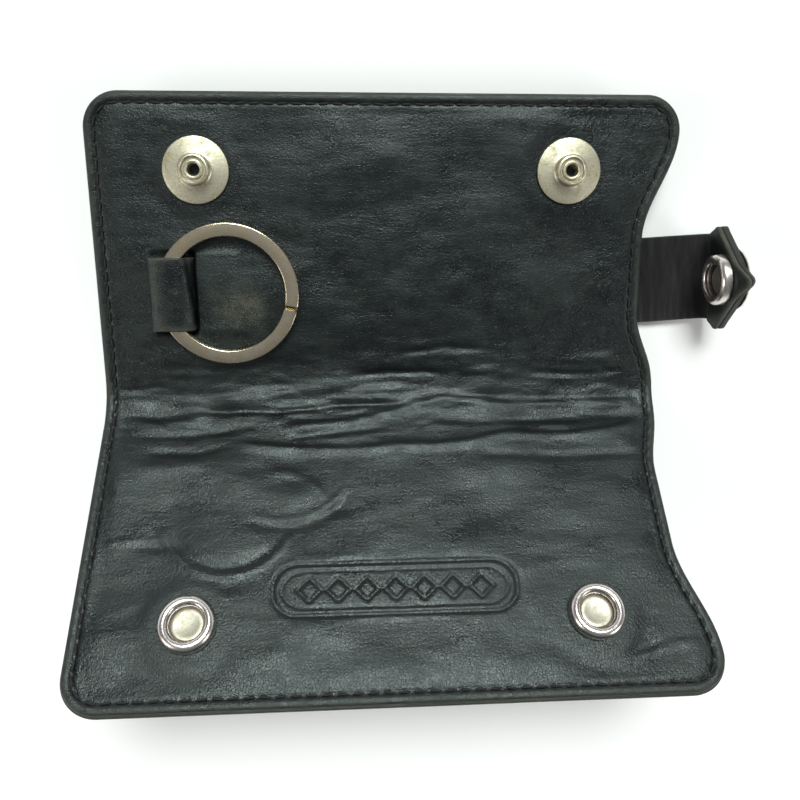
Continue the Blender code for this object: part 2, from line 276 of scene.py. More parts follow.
class Value:
    """A shader socket that takes part in Python arithmetic."""

    def __init__(self, graph: "Graph", socket: bpy.types.NodeSocket) -> None:
        """Wraps one output socket."""
        self.graph = graph
        self.socket = socket

    def math(self, operation: str, *others: Any, clamp: bool = False) -> "Value":
        """One Math node with this value first."""
        sockets = dict(enumerate((self, *others)))
        return self.graph.out("ShaderNodeMath", {"operation": operation, "use_clamp": clamp}, sockets)

    def __add__(self, other: Any) -> "Value":
        """self + other."""
        return self.math("ADD", other)

    __radd__ = __add__

    def __mul__(self, other: Any) -> "Value":
        """self * other."""
        return self.math("MULTIPLY", other)

    __rmul__ = __mul__

    def __sub__(self, other: Any) -> "Value":
        """self - other."""
        return self.math("SUBTRACT", other)

    def __rsub__(self, other: Any) -> "Value":
        """other - self."""
        return self.graph.out("ShaderNodeMath", {"operation": "SUBTRACT"}, {0: other, 1: self})

    def __pow__(self, other: float) -> "Value":
        """self ** other."""
        return self.math("POWER", other)

    def held(self) -> "Value":
        """This value kept between 0 and 1."""
        return self.math("ADD", 0.0, clamp=True)

    def between(self, low: float, high: float) -> "Value":
        """0 at low and 1 at high, smooth between them."""
        sockets = {"Value": self, "From Min": low, "From Max": high}
        return self.graph.out("ShaderNodeMapRange", {"interpolation_type": "SMOOTHSTEP"}, sockets)


class Graph:
    """The nodes of one material, or of the world."""

    def __init__(self, owner: bpy.types.Material | bpy.types.World) -> None:
        """Empties the owner's node tree.

        Args:
            owner: The material or the world.
        """
        owner.use_nodes = True
        self.owner = owner
        self.tree = owner.node_tree
        self.tree.nodes.clear()

    @classmethod
    def named(cls, name: str) -> "Graph":
        """The graph of a new material."""
        return cls(bpy.data.materials.new(name))

    def node(self, kind: str, settings: dict[str, Any], sockets: dict[Any, Any]) -> bpy.types.Node:
        """Adds one node.

        Args:
            kind: The node's type.
            settings: Its properties, or a ramp's stops as (position, colour), set first.
            sockets: Its inputs, as numbers, colours or Values.

        Returns:
            The node.
        """
        made = self.tree.nodes.new(kind)
        for name, value in settings.items():
            if name == "stops":
                elements = made.color_ramp.elements
                elements.remove(elements[1])
                elements[0].position, elements[0].color = value[0]
                for position, colour in value[1:]:
                    elements.new(position).color = colour
            else:
                setattr(made, name, value)
        for name, value in sockets.items():
            if isinstance(value, Value):
                self.tree.links.new(value.socket, made.inputs[name])
            else:
                made.inputs[name].default_value = value
        return made

    def out(
        self, kind: str, settings: dict[str, Any], sockets: dict[Any, Any], output: Any = 0
    ) -> Value:
        """Adds one node and gives one of its outputs."""
        return Value(self, self.node(kind, settings, sockets).outputs[output])

    def attribute(self, name: str, output: str = "Fac") -> Value:
        """A value that the mesh carries."""
        return self.out("ShaderNodeAttribute", {"attribute_name": name}, {}, output)

    def scaled(self, place: Value, scale: tuple[float, float, float]) -> Value:
        """A place stretched along its axes."""
        return self.out("ShaderNodeVectorMath", {"operation": "MULTIPLY"}, {0: place, 1: scale})

    def clouds(self, place: Value, scale: float, detail: float = 2.0, rough: float = 0.5) -> Value:
        """Cloudy noise around 0.5."""
        sockets = {"Vector": place, "Scale": scale, "Detail": detail, "Roughness": rough}
        return self.out("ShaderNodeTexNoise", {}, sockets, "Fac")

    def cells(self, place: Value, scale: float, feature: str = "F1") -> Value:
        """Distance to the nearest cell's middle, or to its edge."""
        sockets = {"Vector": place, "Scale": scale}
        return self.out("ShaderNodeTexVoronoi", {"feature": feature}, sockets, "Distance")

    def blend(self, share: Any, first: Any, second: Any) -> Value:
        """One colour turning into another."""
        sockets = {"Factor": share, 6: first, 7: second}
        return self.out("ShaderNodeMix", {"data_type": "RGBA"}, sockets, 2)

    def bump(self, height: Value, depth: float) -> Value:
        """A normal from a height of 0 to 1, depth millimetres deep."""
        sockets = {"Height": height, "Strength": 1.0, "Distance": depth * MM}
        return self.out("ShaderNodeBump", {}, sockets, "Normal")

    def finish(self, sockets: dict[str, Any]) -> bpy.types.Material:
        """Ends the material with a Principled shader.

        Args:
            sockets: The shader's inputs.

        Returns:
            The material.
        """
        shader = self.node("ShaderNodeBsdfPrincipled", {}, sockets)
        output = self.node("ShaderNodeOutputMaterial", {}, {})
        self.tree.links.new(shader.outputs["BSDF"], output.inputs["Surface"])
        return self.owner


@dataclass(frozen=True)
class Leather:
    """Black grained leather, read from the mesh's place, edge, relief and wear."""

    deep: Colour
    # The paler colour below is the leather's own palest tone, and also the painted highlight on raised
    # folds.
    pale_and_lit: Colour
    rim: Colour
    bare: Colour
    roughness: float
    grain: float  # cells to a millimetre
    depth: float  # millimetres
    gloss: float = 0.5
    sheen: Colour = (0.88, 1.0, 0.97, 1.0)

    def material(self, name: str) -> bpy.types.Material:
        """Builds the nodes.

        Args:
            name: The material's name.

        Returns:
            The material.
        """
        graph = Graph.named(name)
        place = graph.attribute("place", "Vector")
        edge, relief, wear = graph.attribute("edge"), graph.attribute("relief"), graph.attribute("wear")
        sockets = {"Vector": place, "Scale": 0.9, "Detail": 2.0}
        drift = graph.out("ShaderNodeTexNoise", {}, sockets, "Color")
        sockets = {0: drift, 1: (0.9, 0.9, 0.9), 2: place}
        bent = graph.out("ShaderNodeVectorMath", {"operation": "MULTIPLY_ADD"}, sockets)
        pebble = 1.0 - graph.cells(bent, self.grain) ** 2.0
        furrow = graph.cells(bent, self.grain * 0.6, "DISTANCE_TO_EDGE").between(0.0, 0.16)
        stretch = graph.clouds(graph.scaled(place, (0.22, 1.0, 1.0)), 0.9, 4.0, 0.6)
        pores = graph.clouds(place, 5.5, 2.0, 0.6)
        broad = graph.clouds(place, 0.055, 3.0, 0.55)
        patch = graph.clouds(place, 0.28, 4.0, 0.6)
        height = pebble * 0.34 + furrow * 0.18 + stretch * 0.75 + pores * 0.34
        # relief * 0.7 paints light: raised folds and ridges are painted paler as a highlight, and
        # creases, the seam furrow and stamped grooves darker as shade; the noise terms are the
        # leather's own uneven tone.
        shade = broad * 1.5 + patch * 0.9 + pores * 0.5 - 1.20 + relief * 0.7
        shade = (shade + (furrow - 0.8) * 0.12).held()
        colour = graph.blend(shade, self.deep, self.pale_and_lit)
        rim = ((1.0 - edge.between(0.2, 1.9)) * (patch * 1.5 - 0.1)).held()
        colour = graph.blend(rim, colour, self.rim)
        rubbed = (wear * (patch * 1.4 + pores * 4.0 - 2.25)).between(0.05, 0.9)
        colour = graph.blend(rubbed, colour, self.bare)
        dry = self.roughness + (patch - 0.5) * 0.40 + (broad - 0.5) * 0.45 + (0.5 - pores) * 0.35
        dry = dry + rubbed * 0.25 + rim * 0.18
        return graph.finish(
            {
                "Base Color": colour,
                "Roughness": dry.held(),
                "Specular IOR Level": self.gloss,
                "Specular Tint": self.sheen,
                "Normal": graph.bump(height, self.depth),
            }
        )


@dataclass(frozen=True)
class Suede:
    """The leather's matt flesh side, rubbed into soft bands."""

    deep: Colour
    # The paler colour below is the suede's own palest tone, and also the painted highlight on raised
    # wrinkles.
    light: Colour
    depth: float

    def material(self, name: str) -> bpy.types.Material:
        """Builds the nodes.

        Args:
            name: The material's name.

        Returns:
            The material.
        """
        graph = Graph.named(name)
        place = graph.attribute("place", "Vector")
        edge, relief = graph.attribute("edge"), graph.attribute("relief")
        bands = graph.clouds(graph.scaled(place, (0.16, 1.0, 1.0)), 0.75, 3.0, 0.6)
        nap = graph.clouds(place, 7.0, 4.0, 0.75)
        tufts = graph.clouds(place, 1.7, 3.0, 0.6)
        # relief * 0.8 paints light: raised wrinkles are painted paler as a highlight and creases darker
        # as shade; the bands, nap and tufts are the suede's own tone.
        shade = (bands * 1.2 + nap * 0.55 + tufts * 0.4 - 0.75 + relief * 0.8).held()
        fray = (1.0 - edge.between(0.0, 0.8)) * nap
        colour = graph.blend((shade + fray * 0.8).held(), self.deep, self.light)
        height = nap * 0.5 + tufts * 0.5 + bands * 0.5
        return graph.finish(
            {
                "Base Color": colour,
                "Roughness": (0.78 + nap * 0.2).held(),
                "Specular IOR Level": 0.25,
                "Sheen Weight": 0.25,
                "Sheen Roughness": 0.5,
                "Normal": graph.bump(height, self.depth),
            }
        )


@dataclass(frozen=True)
class Metal:
    """Plated metal with faint scratches and mottling; a dark copy of it paints the shade inside the
    sockets.
    """

    bright: Colour
    tarnish: Colour
    roughness: float
    mottle: float
    scratch: float  # millimetres

    def material(self, name: str) -> bpy.types.Material:
        """Builds the nodes.

        Args:
            name: The material's name.

        Returns:
            The material.
        """
        graph = Graph.named(name)
        metres = graph.out("ShaderNodeTexCoord", {}, {}, "Object")
        place = graph.scaled(metres, (1 / MM, 1 / MM, 1 / MM))
        cloud = graph.clouds(place, 0.45, 4.0, 0.6)
        speck = graph.clouds(place, 3.2, 3.0, 0.65)
        lines = graph.clouds(graph.scaled(place, (0.35, 5.0, 2.0)), 1.3, 3.0, 0.7)
        cross = graph.clouds(graph.scaled(place, (4.0, 0.4, 2.0)), 1.1, 3.0, 0.7)
        stain = ((cloud - 0.40) * 2.6 + (speck - 0.5) * 2.4).held() * self.mottle
        colour = graph.blend(stain.held(), self.bright, self.tarnish)
        dull = self.roughness + (cloud - 0.5) * 0.16 + stain * 0.18 + (lines - 0.5) * 0.10
        height = lines * 0.5 + cross * 0.5 + speck * 0.4
        return graph.finish(
            {
                "Base Color": colour,
                "Metallic": 1.0,
                "Roughness": dull.held(),
                "Normal": graph.bump(height, self.scratch),
            }
        )


@dataclass(frozen=True)
class Thread:
    """Waxed sewing thread, twisted from plies."""

    dark: Colour
    light: Colour

    def material(self, name: str) -> bpy.types.Material:
        """Builds the nodes.

        Args:
            name: The material's name.

        Returns:
            The material.
        """
        graph = Graph.named(name)
        place = graph.attribute("place", "Vector")
        sockets = {"Vector": place, "Angle": 0.75}
        leaned = graph.out("ShaderNodeVectorRotate", {"rotation_type": "Z_AXIS"}, sockets)
        settings = {"wave_type": "BANDS", "bands_direction": "X"}
        sockets = {"Vector": leaned, "Scale": 0.9, "Distortion": 0.6}
        plies = graph.out("ShaderNodeTexWave", settings, sockets, "Fac")
        fuzz = graph.clouds(place, 6.0, 3.0, 0.7)
        colour = graph.blend((plies * 0.7 + fuzz * 0.5 - 0.2).held(), self.dark, self.light)
        height = plies * 0.8 + fuzz * 0.2
        return graph.finish(
            {
                "Base Color": colour,
                "Roughness": (0.55 + fuzz * 0.25).held(),
                "Normal": graph.bump(height, 0.06),
            }
        )


@dataclass(frozen=True)
class Paper:
    """The plain pale surface that the wallet stands on."""

    shade: Colour

    def material(self, name: str) -> bpy.types.Material:
        """Builds the nodes.

        Args:
            name: The material's name.

        Returns:
            The material.
        """
        graph = Graph.named(name)
        place = graph.out("ShaderNodeTexCoord", {}, {}, "Object")
        fibre = graph.clouds(place, 900.0, 2.0)
        return graph.finish(
            {"Base Color": self.shade, "Roughness": 0.9, "Normal": graph.bump(fibre, 0.004)}
        )


class Finishes:
    """Every finish on the wallet, made once."""

    def __init__(self) -> None:
        """Builds the materials."""
        self.lining = Leather(
            deep=(0.0022, 0.0030, 0.0034, 1.0),
            pale_and_lit=(0.0080, 0.0125, 0.0120, 1.0),
            rim=(0.024, 0.024, 0.017, 1.0),
            bare=(0.085, 0.081, 0.056, 1.0),
            roughness=0.36,
            grain=2.4,
            depth=0.095,
        ).material("lining_nappa")
        self.cover = Leather(
            deep=(0.0026, 0.0030, 0.0032, 1.0),
            pale_and_lit=(0.0090, 0.0100, 0.0100, 1.0),
            rim=(0.026, 0.024, 0.016, 1.0),
            bare=(0.040, 0.036, 0.026, 1.0),
            roughness=0.42,
            grain=0.95,
            depth=0.13,
        ).material("cover_hide")
        self.suede = Suede(
            deep=(0.0030, 0.0028, 0.0040, 1.0), light=(0.030, 0.028, 0.028, 1.0), depth=0.14
        ).material("flesh_side")
        self.ring = Metal(
            bright=(0.70, 0.64, 0.48, 1.0),
            tarnish=(0.36, 0.27, 0.14, 1.0),
            roughness=0.20,
            mottle=0.85,
            scratch=0.006,
        ).material("ring_nickel")
        self.nickel = Metal(
            bright=(0.78, 0.73, 0.69, 1.0),
            tarnish=(0.55, 0.47, 0.41, 1.0),
            roughness=0.24,
            mottle=0.35,
            scratch=0.004,
        ).material("bright_nickel")
        self.dull = Metal(
            bright=(0.68, 0.65, 0.50, 1.0),
            tarnish=(0.33, 0.30, 0.18, 1.0),
            roughness=0.40,
            mottle=1.0,
            scratch=0.035,
        ).material("aged_nickel")
        self.disc = Metal(
            bright=(0.52, 0.50, 0.41, 1.0),
            tarnish=(0.32, 0.29, 0.20, 1.0),
            roughness=0.42,
            mottle=0.7,
            scratch=0.020,
        ).material("dished_head")
        # A dark metal that paints the shade inside each socket's hollow.
        self.hollow = Metal(
            bright=(0.15, 0.12, 0.09, 1.0),
            tarnish=(0.06, 0.045, 0.03, 1.0),
            roughness=0.35,
            mottle=0.7,
            scratch=0.010,
        ).material("socket_painted_shade")
        self.spring = Metal(
            bright=(0.55, 0.55, 0.56, 1.0),
            tarnish=(0.25, 0.22, 0.19, 1.0),
            roughness=0.30,
            mottle=0.60,
            scratch=0.004,
        ).material("spring_wire")
        self.thread = Thread(
            dark=(0.003, 0.003, 0.003, 1.0), light=(0.016, 0.016, 0.014, 1.0)
        ).material("waxed_thread")
        self.paper = Paper(shade=(0.93, 0.93, 0.92, 1.0)).material("pale_paper")


# ---- making pieces ---------------------------------------------------------------------------------


def placed(
    name: str, mesh: bmesh.types.BMesh, look: bpy.types.Material, sharp: float | None = None
) -> bpy.types.Object:
    """Turns a bmesh into a smooth-shaded object.

    Args:
        name: The piece's name.
        mesh: Its shape, in metres of the wallet; it is freed.
        look: Its material.
        sharp: The angle in degrees past which an edge stays sharp, if any does.

    Returns:
        The object.
    """
    data = bpy.data.meshes.new(name)
    mesh.to_mesh(data)
    mesh.free()
    data.materials.append(look)
    data.shade_smooth()
    if sharp is not None:
        data.set_sharp_from_angle(angle=math.radians(sharp))
    made = bpy.data.objects.new(name, data)
    bpy.context.scene.collection.objects.link(made)
    LOG.info("%s: %d faces", name, len(data.polygons))
    return made


def fitted(
    piece: bpy.types.Object, slot: Slot, body: str | None, nodes: Sequence[str]
) -> bpy.types.Object:
    """Hides the CAD nodes that a piece stands for, and hangs the piece on its body, if it rides on only
    one.

    Args:
        piece: The piece.
        slot: Its slot in the record; not used.
        body: The body, or None for a piece that no single body carries.
        nodes: The CAD nodes that it stands for.

    Returns:
        The piece.
    """
    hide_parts(*nodes)
    if body:
        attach(piece, body)
    return piece


def write(data: bpy.types.Mesh, name: str, values: Array) -> None:
    """Stores one number, or one place, for each vertex.

    Args:
        data: The mesh.
        name: The attribute's name.
        values: Numbers or places, one for each vertex.
    """
    kind, key = ("FLOAT", "value") if values.ndim == 1 else ("FLOAT_VECTOR", "vector")
    layer = data.attributes.get(name) or data.attributes.new(name, kind, "POINT")
    layer.data.foreach_set(key, values.astype(np.float32).ravel())


@dataclass
class Sheet:
    """A piece of leather with two faces, cut from a lattice of places.

    rows holds s for each row, and lattice holds x for each row and column. upper and lower give the two
    faces' heights at (x, s, edge), where edge is the distance to the cut.
    """

    name: str
    rows: Array
    lattice: Array
    edge: Callable[[Array, Array], Array]
    upper: Relief
    lower: Relief
    course: Course
    wear: Relief | None = None
    split: int | None = None  # the row where the piece goes on in the next one

    def build(self, look: bpy.types.Material) -> bpy.types.Object:
        """Makes the closed mesh and lays it on its course.

        Args:
            look: Its finish.

        Returns:
            The piece.
        """
        count_s, count_x = self.lattice.shape
        mesh = bmesh.new()
        bmesh.ops.create_grid(mesh, x_segments=count_x - 1, y_segments=count_s - 1, size=1.0)
        cell, side = mesh.verts.layers.int.new("cell"), mesh.verts.layers.int.new("side")
        for vert in mesh.verts:
            column = round((vert.co.x + 1.0) / 2.0 * (count_x - 1))
            vert[cell] = round((vert.co.y + 1.0) / 2.0 * (count_s - 1)) * count_x + column
        for item in bmesh.ops.extrude_face_region(mesh, geom=mesh.faces[:])["geom"]:
            if isinstance(item, bmesh.types.BMVert):
                item[side] = 1
                item.co.z += 1.0
        bmesh.ops.recalc_face_normals(mesh, faces=mesh.faces)
        for seam in mesh.edges if self.split is not None else ():
            seam.smooth = not all(vert[cell] // count_x == self.split for vert in seam.verts)
        piece = placed(self.name, mesh, look)
        self.shape(piece.data)
        return piece

    def shape(self, data: bpy.types.Mesh) -> None:
        """Gives every vertex its height, its place on the course and what its finish reads.

        Args:
            data: The closed mesh.
        """
        found = {}
        for name in ("cell", "side"):
            found[name] = np.zeros(len(data.vertices), np.int32)
            data.attributes[name].data.foreach_get("value", found[name])
            data.attributes.remove(data.attributes[name])
        x = self.lattice.ravel()[found["cell"]]
        s = np.repeat(self.rows, self.lattice.shape[1])[found["cell"]]
        edge = self.edge(x, s)
        top = found["side"] == 1
        height = np.where(top, self.upper(x, s, edge), self.lower(x, s, edge))
        data.vertices.foreach_set("co", self.course.carry(x, s, height).astype(np.float32).ravel())
        data.update()
        level = np.median(height[top])
        write(data, "place", np.stack([x, s, height], axis=1))
        write(data, "edge", edge)
        write(data, "relief", np.where(top, height - level, 0.0))
        write(data, "wear", self.wear(x, s, edge) if self.wear else np.zeros(len(x)))


def rolled(edge: Array, radius: float) -> Array:
    """How far a face drops at its rounded cut edge."""
    inside = np.clip(edge, 0.0, radius)
    return radius - np.sqrt(np.maximum(radius**2 - (radius - inside) ** 2, 0.0))


@dataclass(frozen=True)
class Level:
    """A flat face that rounds off at the cut edge, downwards (-1) or upwards (+1)."""

    height: float
    way: int
    radius: float

    def __call__(self, x: Array, s: Array, edge: Array) -> Array:
        """Its height at each place."""
        return np.full_like(x, self.height) + self.way * rolled(edge, self.radius)


def spaced(*runs: tuple[float, float, float]) -> Array:
    """Places along a line, from runs of (start, end, spacing) that follow one another."""
    found = [np.linspace(a, b, max(1, round(abs(b - a) / gap)), endpoint=False) for a, b, gap in runs]
    return np.concatenate([*found, [runs[-1][1]]])


EDGE_STEPS = np.array([0.0, 0.1, 0.25, 0.45, 0.75, 1.1, 1.5, 1.85, 2.2, 2.55, 2.95, 3.5, 4.2])


def framed(left: Array, right: Array, inner: Array) -> Array:
    """Columns that stand close together at both sides.

    Args:
        left: Each row's left end.
        right: Each row's right end.
        inner: The columns between, as shares of the width, from 0 to 1.

    Returns:
        x for each row and column.
    """
    low, high = left[:, None], right[:, None]
    start, end = low + EDGE_STEPS[-1], high - EDGE_STEPS[-1]
    between = start + (end - start) * inner[None, 1:-1]
    return np.hstack([low + EDGE_STEPS, between, high - EDGE_STEPS[::-1]])


@dataclass(frozen=True)
class Outline:
    """A panel's cut shape: straight on the left, waisted on the right, with two round corners."""

    waist: float
    left: float = -66.5
    tip: float = 66.2
    fold: float = 63.9
    waist_from: float = 17.5
    waist_to: float = 34.5
    tip_at: float = 58.0
    reach: float = 66.0
    corner: float = 8.0
    spine_half: float = 2.4

    def along(self, s: Array) -> Array:
        """Distance from the panel's hinge line; less than 0 on the spine."""
        return np.abs(s) - self.spine_half

    def right(self, t: Array) -> Array:
        """The right side's x, before the corner is rounded.

        Args:
            t: Distances from the hinge line.

        Returns:
            x for each distance.
        """
        to_fold = (self.fold - self.waist) * (1 - eased(t / self.waist_from))
        to_tip = (self.tip - self.waist) * eased((t - self.waist_to) / (self.tip_at - self.waist_to))
        return self.waist + to_fold + to_tip

    def slant(self, t: Array) -> Array:
        """How much longer the slanted right side is than its rise."""
        return np.hypot(1.0, (self.right(t + 0.05) - self.right(t - 0.05)) / 0.1)

    def ends(self, t: Array, inset: float) -> tuple[Array, Array]:
        """Both ends of the rows at t, inset from the cut.

        Args:
            t: Distances from the hinge line.
            inset: Distance in from the cut.

        Returns:
            The left end and the right end of each row.
        """
        radius = self.corner - inset
        rise = np.clip(t - (self.reach - self.corner), 0.0, radius)
        drawn_in = radius - np.sqrt(radius**2 - rise**2)
        right = self.right(t) - inset * self.slant(t) - drawn_in
        return np.full_like(t, self.left + inset) + drawn_in, right

    def edge(self, x: Array, s: Array, inset: float) -> Array:
        """Distance from the cut, inwards.

        Args:
            x: Places across the leather.
            s: Places along it.
            inset: Distance in from the cut.

        Returns:
            One number for each place.
        """
        t = self.along(s)
        near = np.minimum(x - self.left, (self.right(t) - x) / self.slant(t))
        near = np.minimum(near, self.reach - t)
        over_t = t - (self.reach - self.corner)
        over_x = np.maximum(self.left + self.corner - x, x - (self.tip - self.corner))
        rounded = self.corner - np.hypot(over_x, over_t)
        return np.where((over_t > 0) & (over_x > 0), rounded, near) - inset

    def seam(self, inset: float, pitch: float) -> tuple[Array, Array, Array]:
        """A line of stitches round the panel.

        Args:
            inset: Distance from the cut.
            pitch: Distance from one stitch to the next.

        Returns:
            x, distance from the middle of the fold, and direction in radians, for each stitch.
        """
        rise = np.linspace(-self.spine_half, self.reach - self.corner, 200)
        turn = np.linspace(0.0, math.pi / 2, 30)[1:]
        radius = self.corner - inset
        right_x, left_x = self.ends(rise, inset)[1], np.full_like(rise, self.left + inset)
        centre = self.reach - self.corner
        x = [right_x, self.tip - self.corner + radius * np.cos(turn)]
        whole = np.concatenate([[0.0], turn])
        x += [self.left + self.corner - radius * np.sin(whole), left_x[::-1][1:]]
        t = [rise, centre + radius * np.sin(turn)]
        t += [centre + radius * np.cos(whole), rise[::-1][1:]]
        path_x, path_t = np.concatenate(x), np.concatenate(t) + self.spine_half
        length = np.concatenate([[0.0], np.cumsum(np.hypot(np.diff(path_x), np.diff(path_t)))])
        count = round(length[-1] / pitch)
        at = (np.arange(count) + 0.5) * length[-1] / count
        here, ahead, behind = (
            np.stack([np.interp(at + step, length, path) for path in (path_x, path_t)])
            for step in (0.0, 0.3, -0.3)
        )
        way = ahead - behind
        return here[0], here[1], np.arctan2(way[1], way[0])


# ---- marks in the leather --------------------------------------------------------------------------


@dataclass(frozen=True)
class Wrinkle:
    """A ridge or a furrow that runs across the leather through (x, s) points."""

    line: Profile
    height: float
    far: float = 0.9  # width on the side away from the front's edge
    near: float = 0.9
    fade: float = 6.0

    def relief(self, x: Array, s: Array) -> Array:
        """Its height at each place.

        Args:
            x: Places across the leather.
            s: Places along it.

        Returns:
            One number for each place.
        """
        given = np.array(self.line, float)
        dense = np.linspace(given[0, 0], given[-1, 0], 80)
        lifted = np.interp(dense, given[:, 0], given[:, 1])
        window = np.hanning(17) / np.hanning(17).sum()
        line = np.convolve(np.pad(lifted, 8, "edge"), window, "valid")
        off = (s - np.interp(x, dense, line)) / 1.1
        ends = smooth((x - dense[0]) / self.fade) * smooth((dense[-1] - x) / self.fade)
        return self.height * ends * np.exp(-((off / np.where(off > 0, self.far, self.near)) ** 2))


@dataclass(frozen=True)
class Arc:
    """A round mark pressed into the leather, such as the key ring leaves."""

    x: float
    s: float
    radius: float
    start: float
    end: float
    height: float
    inside: float = 0.7
    outside: float = 0.7

    def relief(self, x: Array, s: Array) -> Array:
        """Its height at each place.

        Args:
            x: Places across the leather.
            s: Places along it.

        Returns:
            One number for each place.
        """
        off = np.hypot(x - self.x, s - self.s) - self.radius
        turn = (np.degrees(np.arctan2(s - self.s, x - self.x)) - self.start) % 360.0
        sweep = (self.end - self.start) % 360.0
        ends = smooth(turn / 14.0) * smooth((sweep - turn) / 14.0) * (turn < sweep)
        return self.height * ends * np.exp(-((off / np.where(off > 0, self.outside, self.inside)) ** 2))


@dataclass(frozen=True)
class Dent:
    """A soft oval rise or hollow."""

    x: float
    s: float
    long: float
    wide: float
    height: float

    def relief(self, x: Array, s: Array) -> Array:
        """Its height at each place."""
        off_x, off_s = (x - self.x) / self.long, (s - self.s) / self.wide
        return self.height * np.exp(-(off_x**2) - off_s**2)


@dataclass(frozen=True)
class Stamp:
    """The blind-stamped ornament: a plain plaque with a row of lozenges."""

    x: float = -0.5
    s: float = -45.2
    half_long: float = 25.5
    half_wide: float = 5.4
    corner: float = 5.0
    lozenges: int = 7
    pitch: float = 6.0
    depth: float = 0.42

    def plaque(self, x: Array, s: Array, grown: float) -> Array:
        """Distance outside a rounded plaque that is grown by so much.

        Args:
            x: Places across the leather.
            s: Places along it.
            grown: How far the plaque is grown.

        Returns:
            One number for each place.
        """
        off_x = np.abs(x - self.x) - (self.half_long + grown - self.corner)
        off_s = np.abs(s - self.s) - (self.half_wide + grown - self.corner)
        outer = np.hypot(np.maximum(off_x, 0), np.maximum(off_s, 0))
        return outer + np.minimum(np.maximum(off_x, off_s), 0) - self.corner

    def relief(self, x: Array, s: Array) -> Array:
        """Its height at each place.

        Args:
            x: Places across the leather.
            s: Places along it.

        Returns:
            One number for each place.
        """
        found = -0.8 * np.exp(-((self.plaque(x, s, 0.0) / 0.42) ** 2))
        found -= 0.5 * np.exp(-((self.plaque(x, s, -1.5) / 0.34) ** 2))
        found -= 0.25 * smooth(0.5 - self.plaque(x, s, -1.5))
        index = np.clip(np.round((x - self.x) / self.pitch), -(self.lozenges // 2), self.lozenges // 2)
        off_x, off_s = np.abs(x - self.x - index * self.pitch), np.abs(s - self.s)
        lozenge = (off_x / 2.5 + off_s / 2.5 - 1.0) * 1.7
        found -= 0.75 * np.exp(-((lozenge / 0.36) ** 2))
        found += 0.30 * smooth(-lozenge)
        between = np.hypot(off_x - self.pitch / 2, off_s) - 0.45
        found -= 0.5 * smooth(0.5 - between) * (np.abs(x - self.x) < self.pitch * self.lozenges / 2)
        return self.depth * found


FOLD_MARKS = (
    Wrinkle(((-62, -5.2), (-53, -5.7), (-46, -4.8), (-41, -2.6)), 0.42, 1.0, 1.6),
    Wrinkle(((-43, -0.6), (-32, 0.4), (-22, 1.8), (-14.5, 3.6), (-8, 2.0)), 0.50, 1.5, 1.6),
    Wrinkle(((-12, 1.0), (-6, 1.7), (2, 2.0), (8, 1.2)), 0.26, 1.0, 1.0),
    Wrinkle(((-26, -7.0), (-15, -6.3), (-7, -5.1), (-1.5, -4.4), (5, -1.4), (17, -0.2), (23, -1.6),
             (31, -2.6), (41, -1.9), (62, -1.7)), 0.55, 0.9, 1.5),
    Wrinkle(((-38, -10.6), (-25, -12.4), (-15, -12.8), (-5, -13.2), (3, -11.9), (12, -12.5),
             (20, -11.4), (28, -8.9), (34, -10.3), (44, -10.0), (60, -7.4)), 0.46, 0.75, 1.4),
    Wrinkle(((18, 4.4), (26, 4.9), (34, 5.0)), 0.24, 1.4, 1.4),
    Wrinkle(((-30, -18.8), (-20, -18.5)), 0.22, 1.0, 1.3, 4.0),
    Wrinkle(((-60, -16.9), (-52, -16.6), (-40, -15.8)), 0.26, 1.2, 1.6),
    Wrinkle(((-45, -2.4), (-26, -3.0), (-11.5, -1.6), (3, -1.3)), -0.42, 0.7, 0.7),
    Wrinkle(((-12, 5.2), (-6, 5.7), (9, 5.9), (15, 4.8)), -0.42, 0.8, 0.6),
    Wrinkle(((0, 10.2), (6, 10.8), (13, 11.8), (26, 11.2)), -0.30, 0.9, 0.6),
    Wrinkle(((30, 5.9), (45, 4.9), (59, 6.2)), -0.40, 0.8, 0.6),
    Wrinkle(((18, -14.6), (35, -15.9), (60, -15.4)), -0.30, 1.2, 1.0),
    Wrinkle(((-63, 2.6), (-52, 3.3)), -0.30, 0.8, 0.6, 4.0),
    Wrinkle(((-58, -13.0), (-45, -13.4), (-36, -11.6)), -0.34, 1.0, 0.8),
    Wrinkle(((-26, -9.8), (-8.5, -8.3), (0, -7.4)), -0.32, 0.8, 0.8),
    Wrinkle(((8, -6.0), (24, -6.4), (44, -5.6), (60, -5.2)), -0.28, 1.2, 0.8),
    Wrinkle(((-60, -8.6), (-48, -8.9), (-34, -7.2)), -0.30, 0.9, 0.8),
    Wrinkle(((-60, 8.2), (-40, 7.2), (-24, 8.6)), -0.20, 0.9, 0.8),
    Wrinkle(((22, 8.4), (40, 9.2), (58, 8.2)), 0.16, 1.2, 1.2),
)

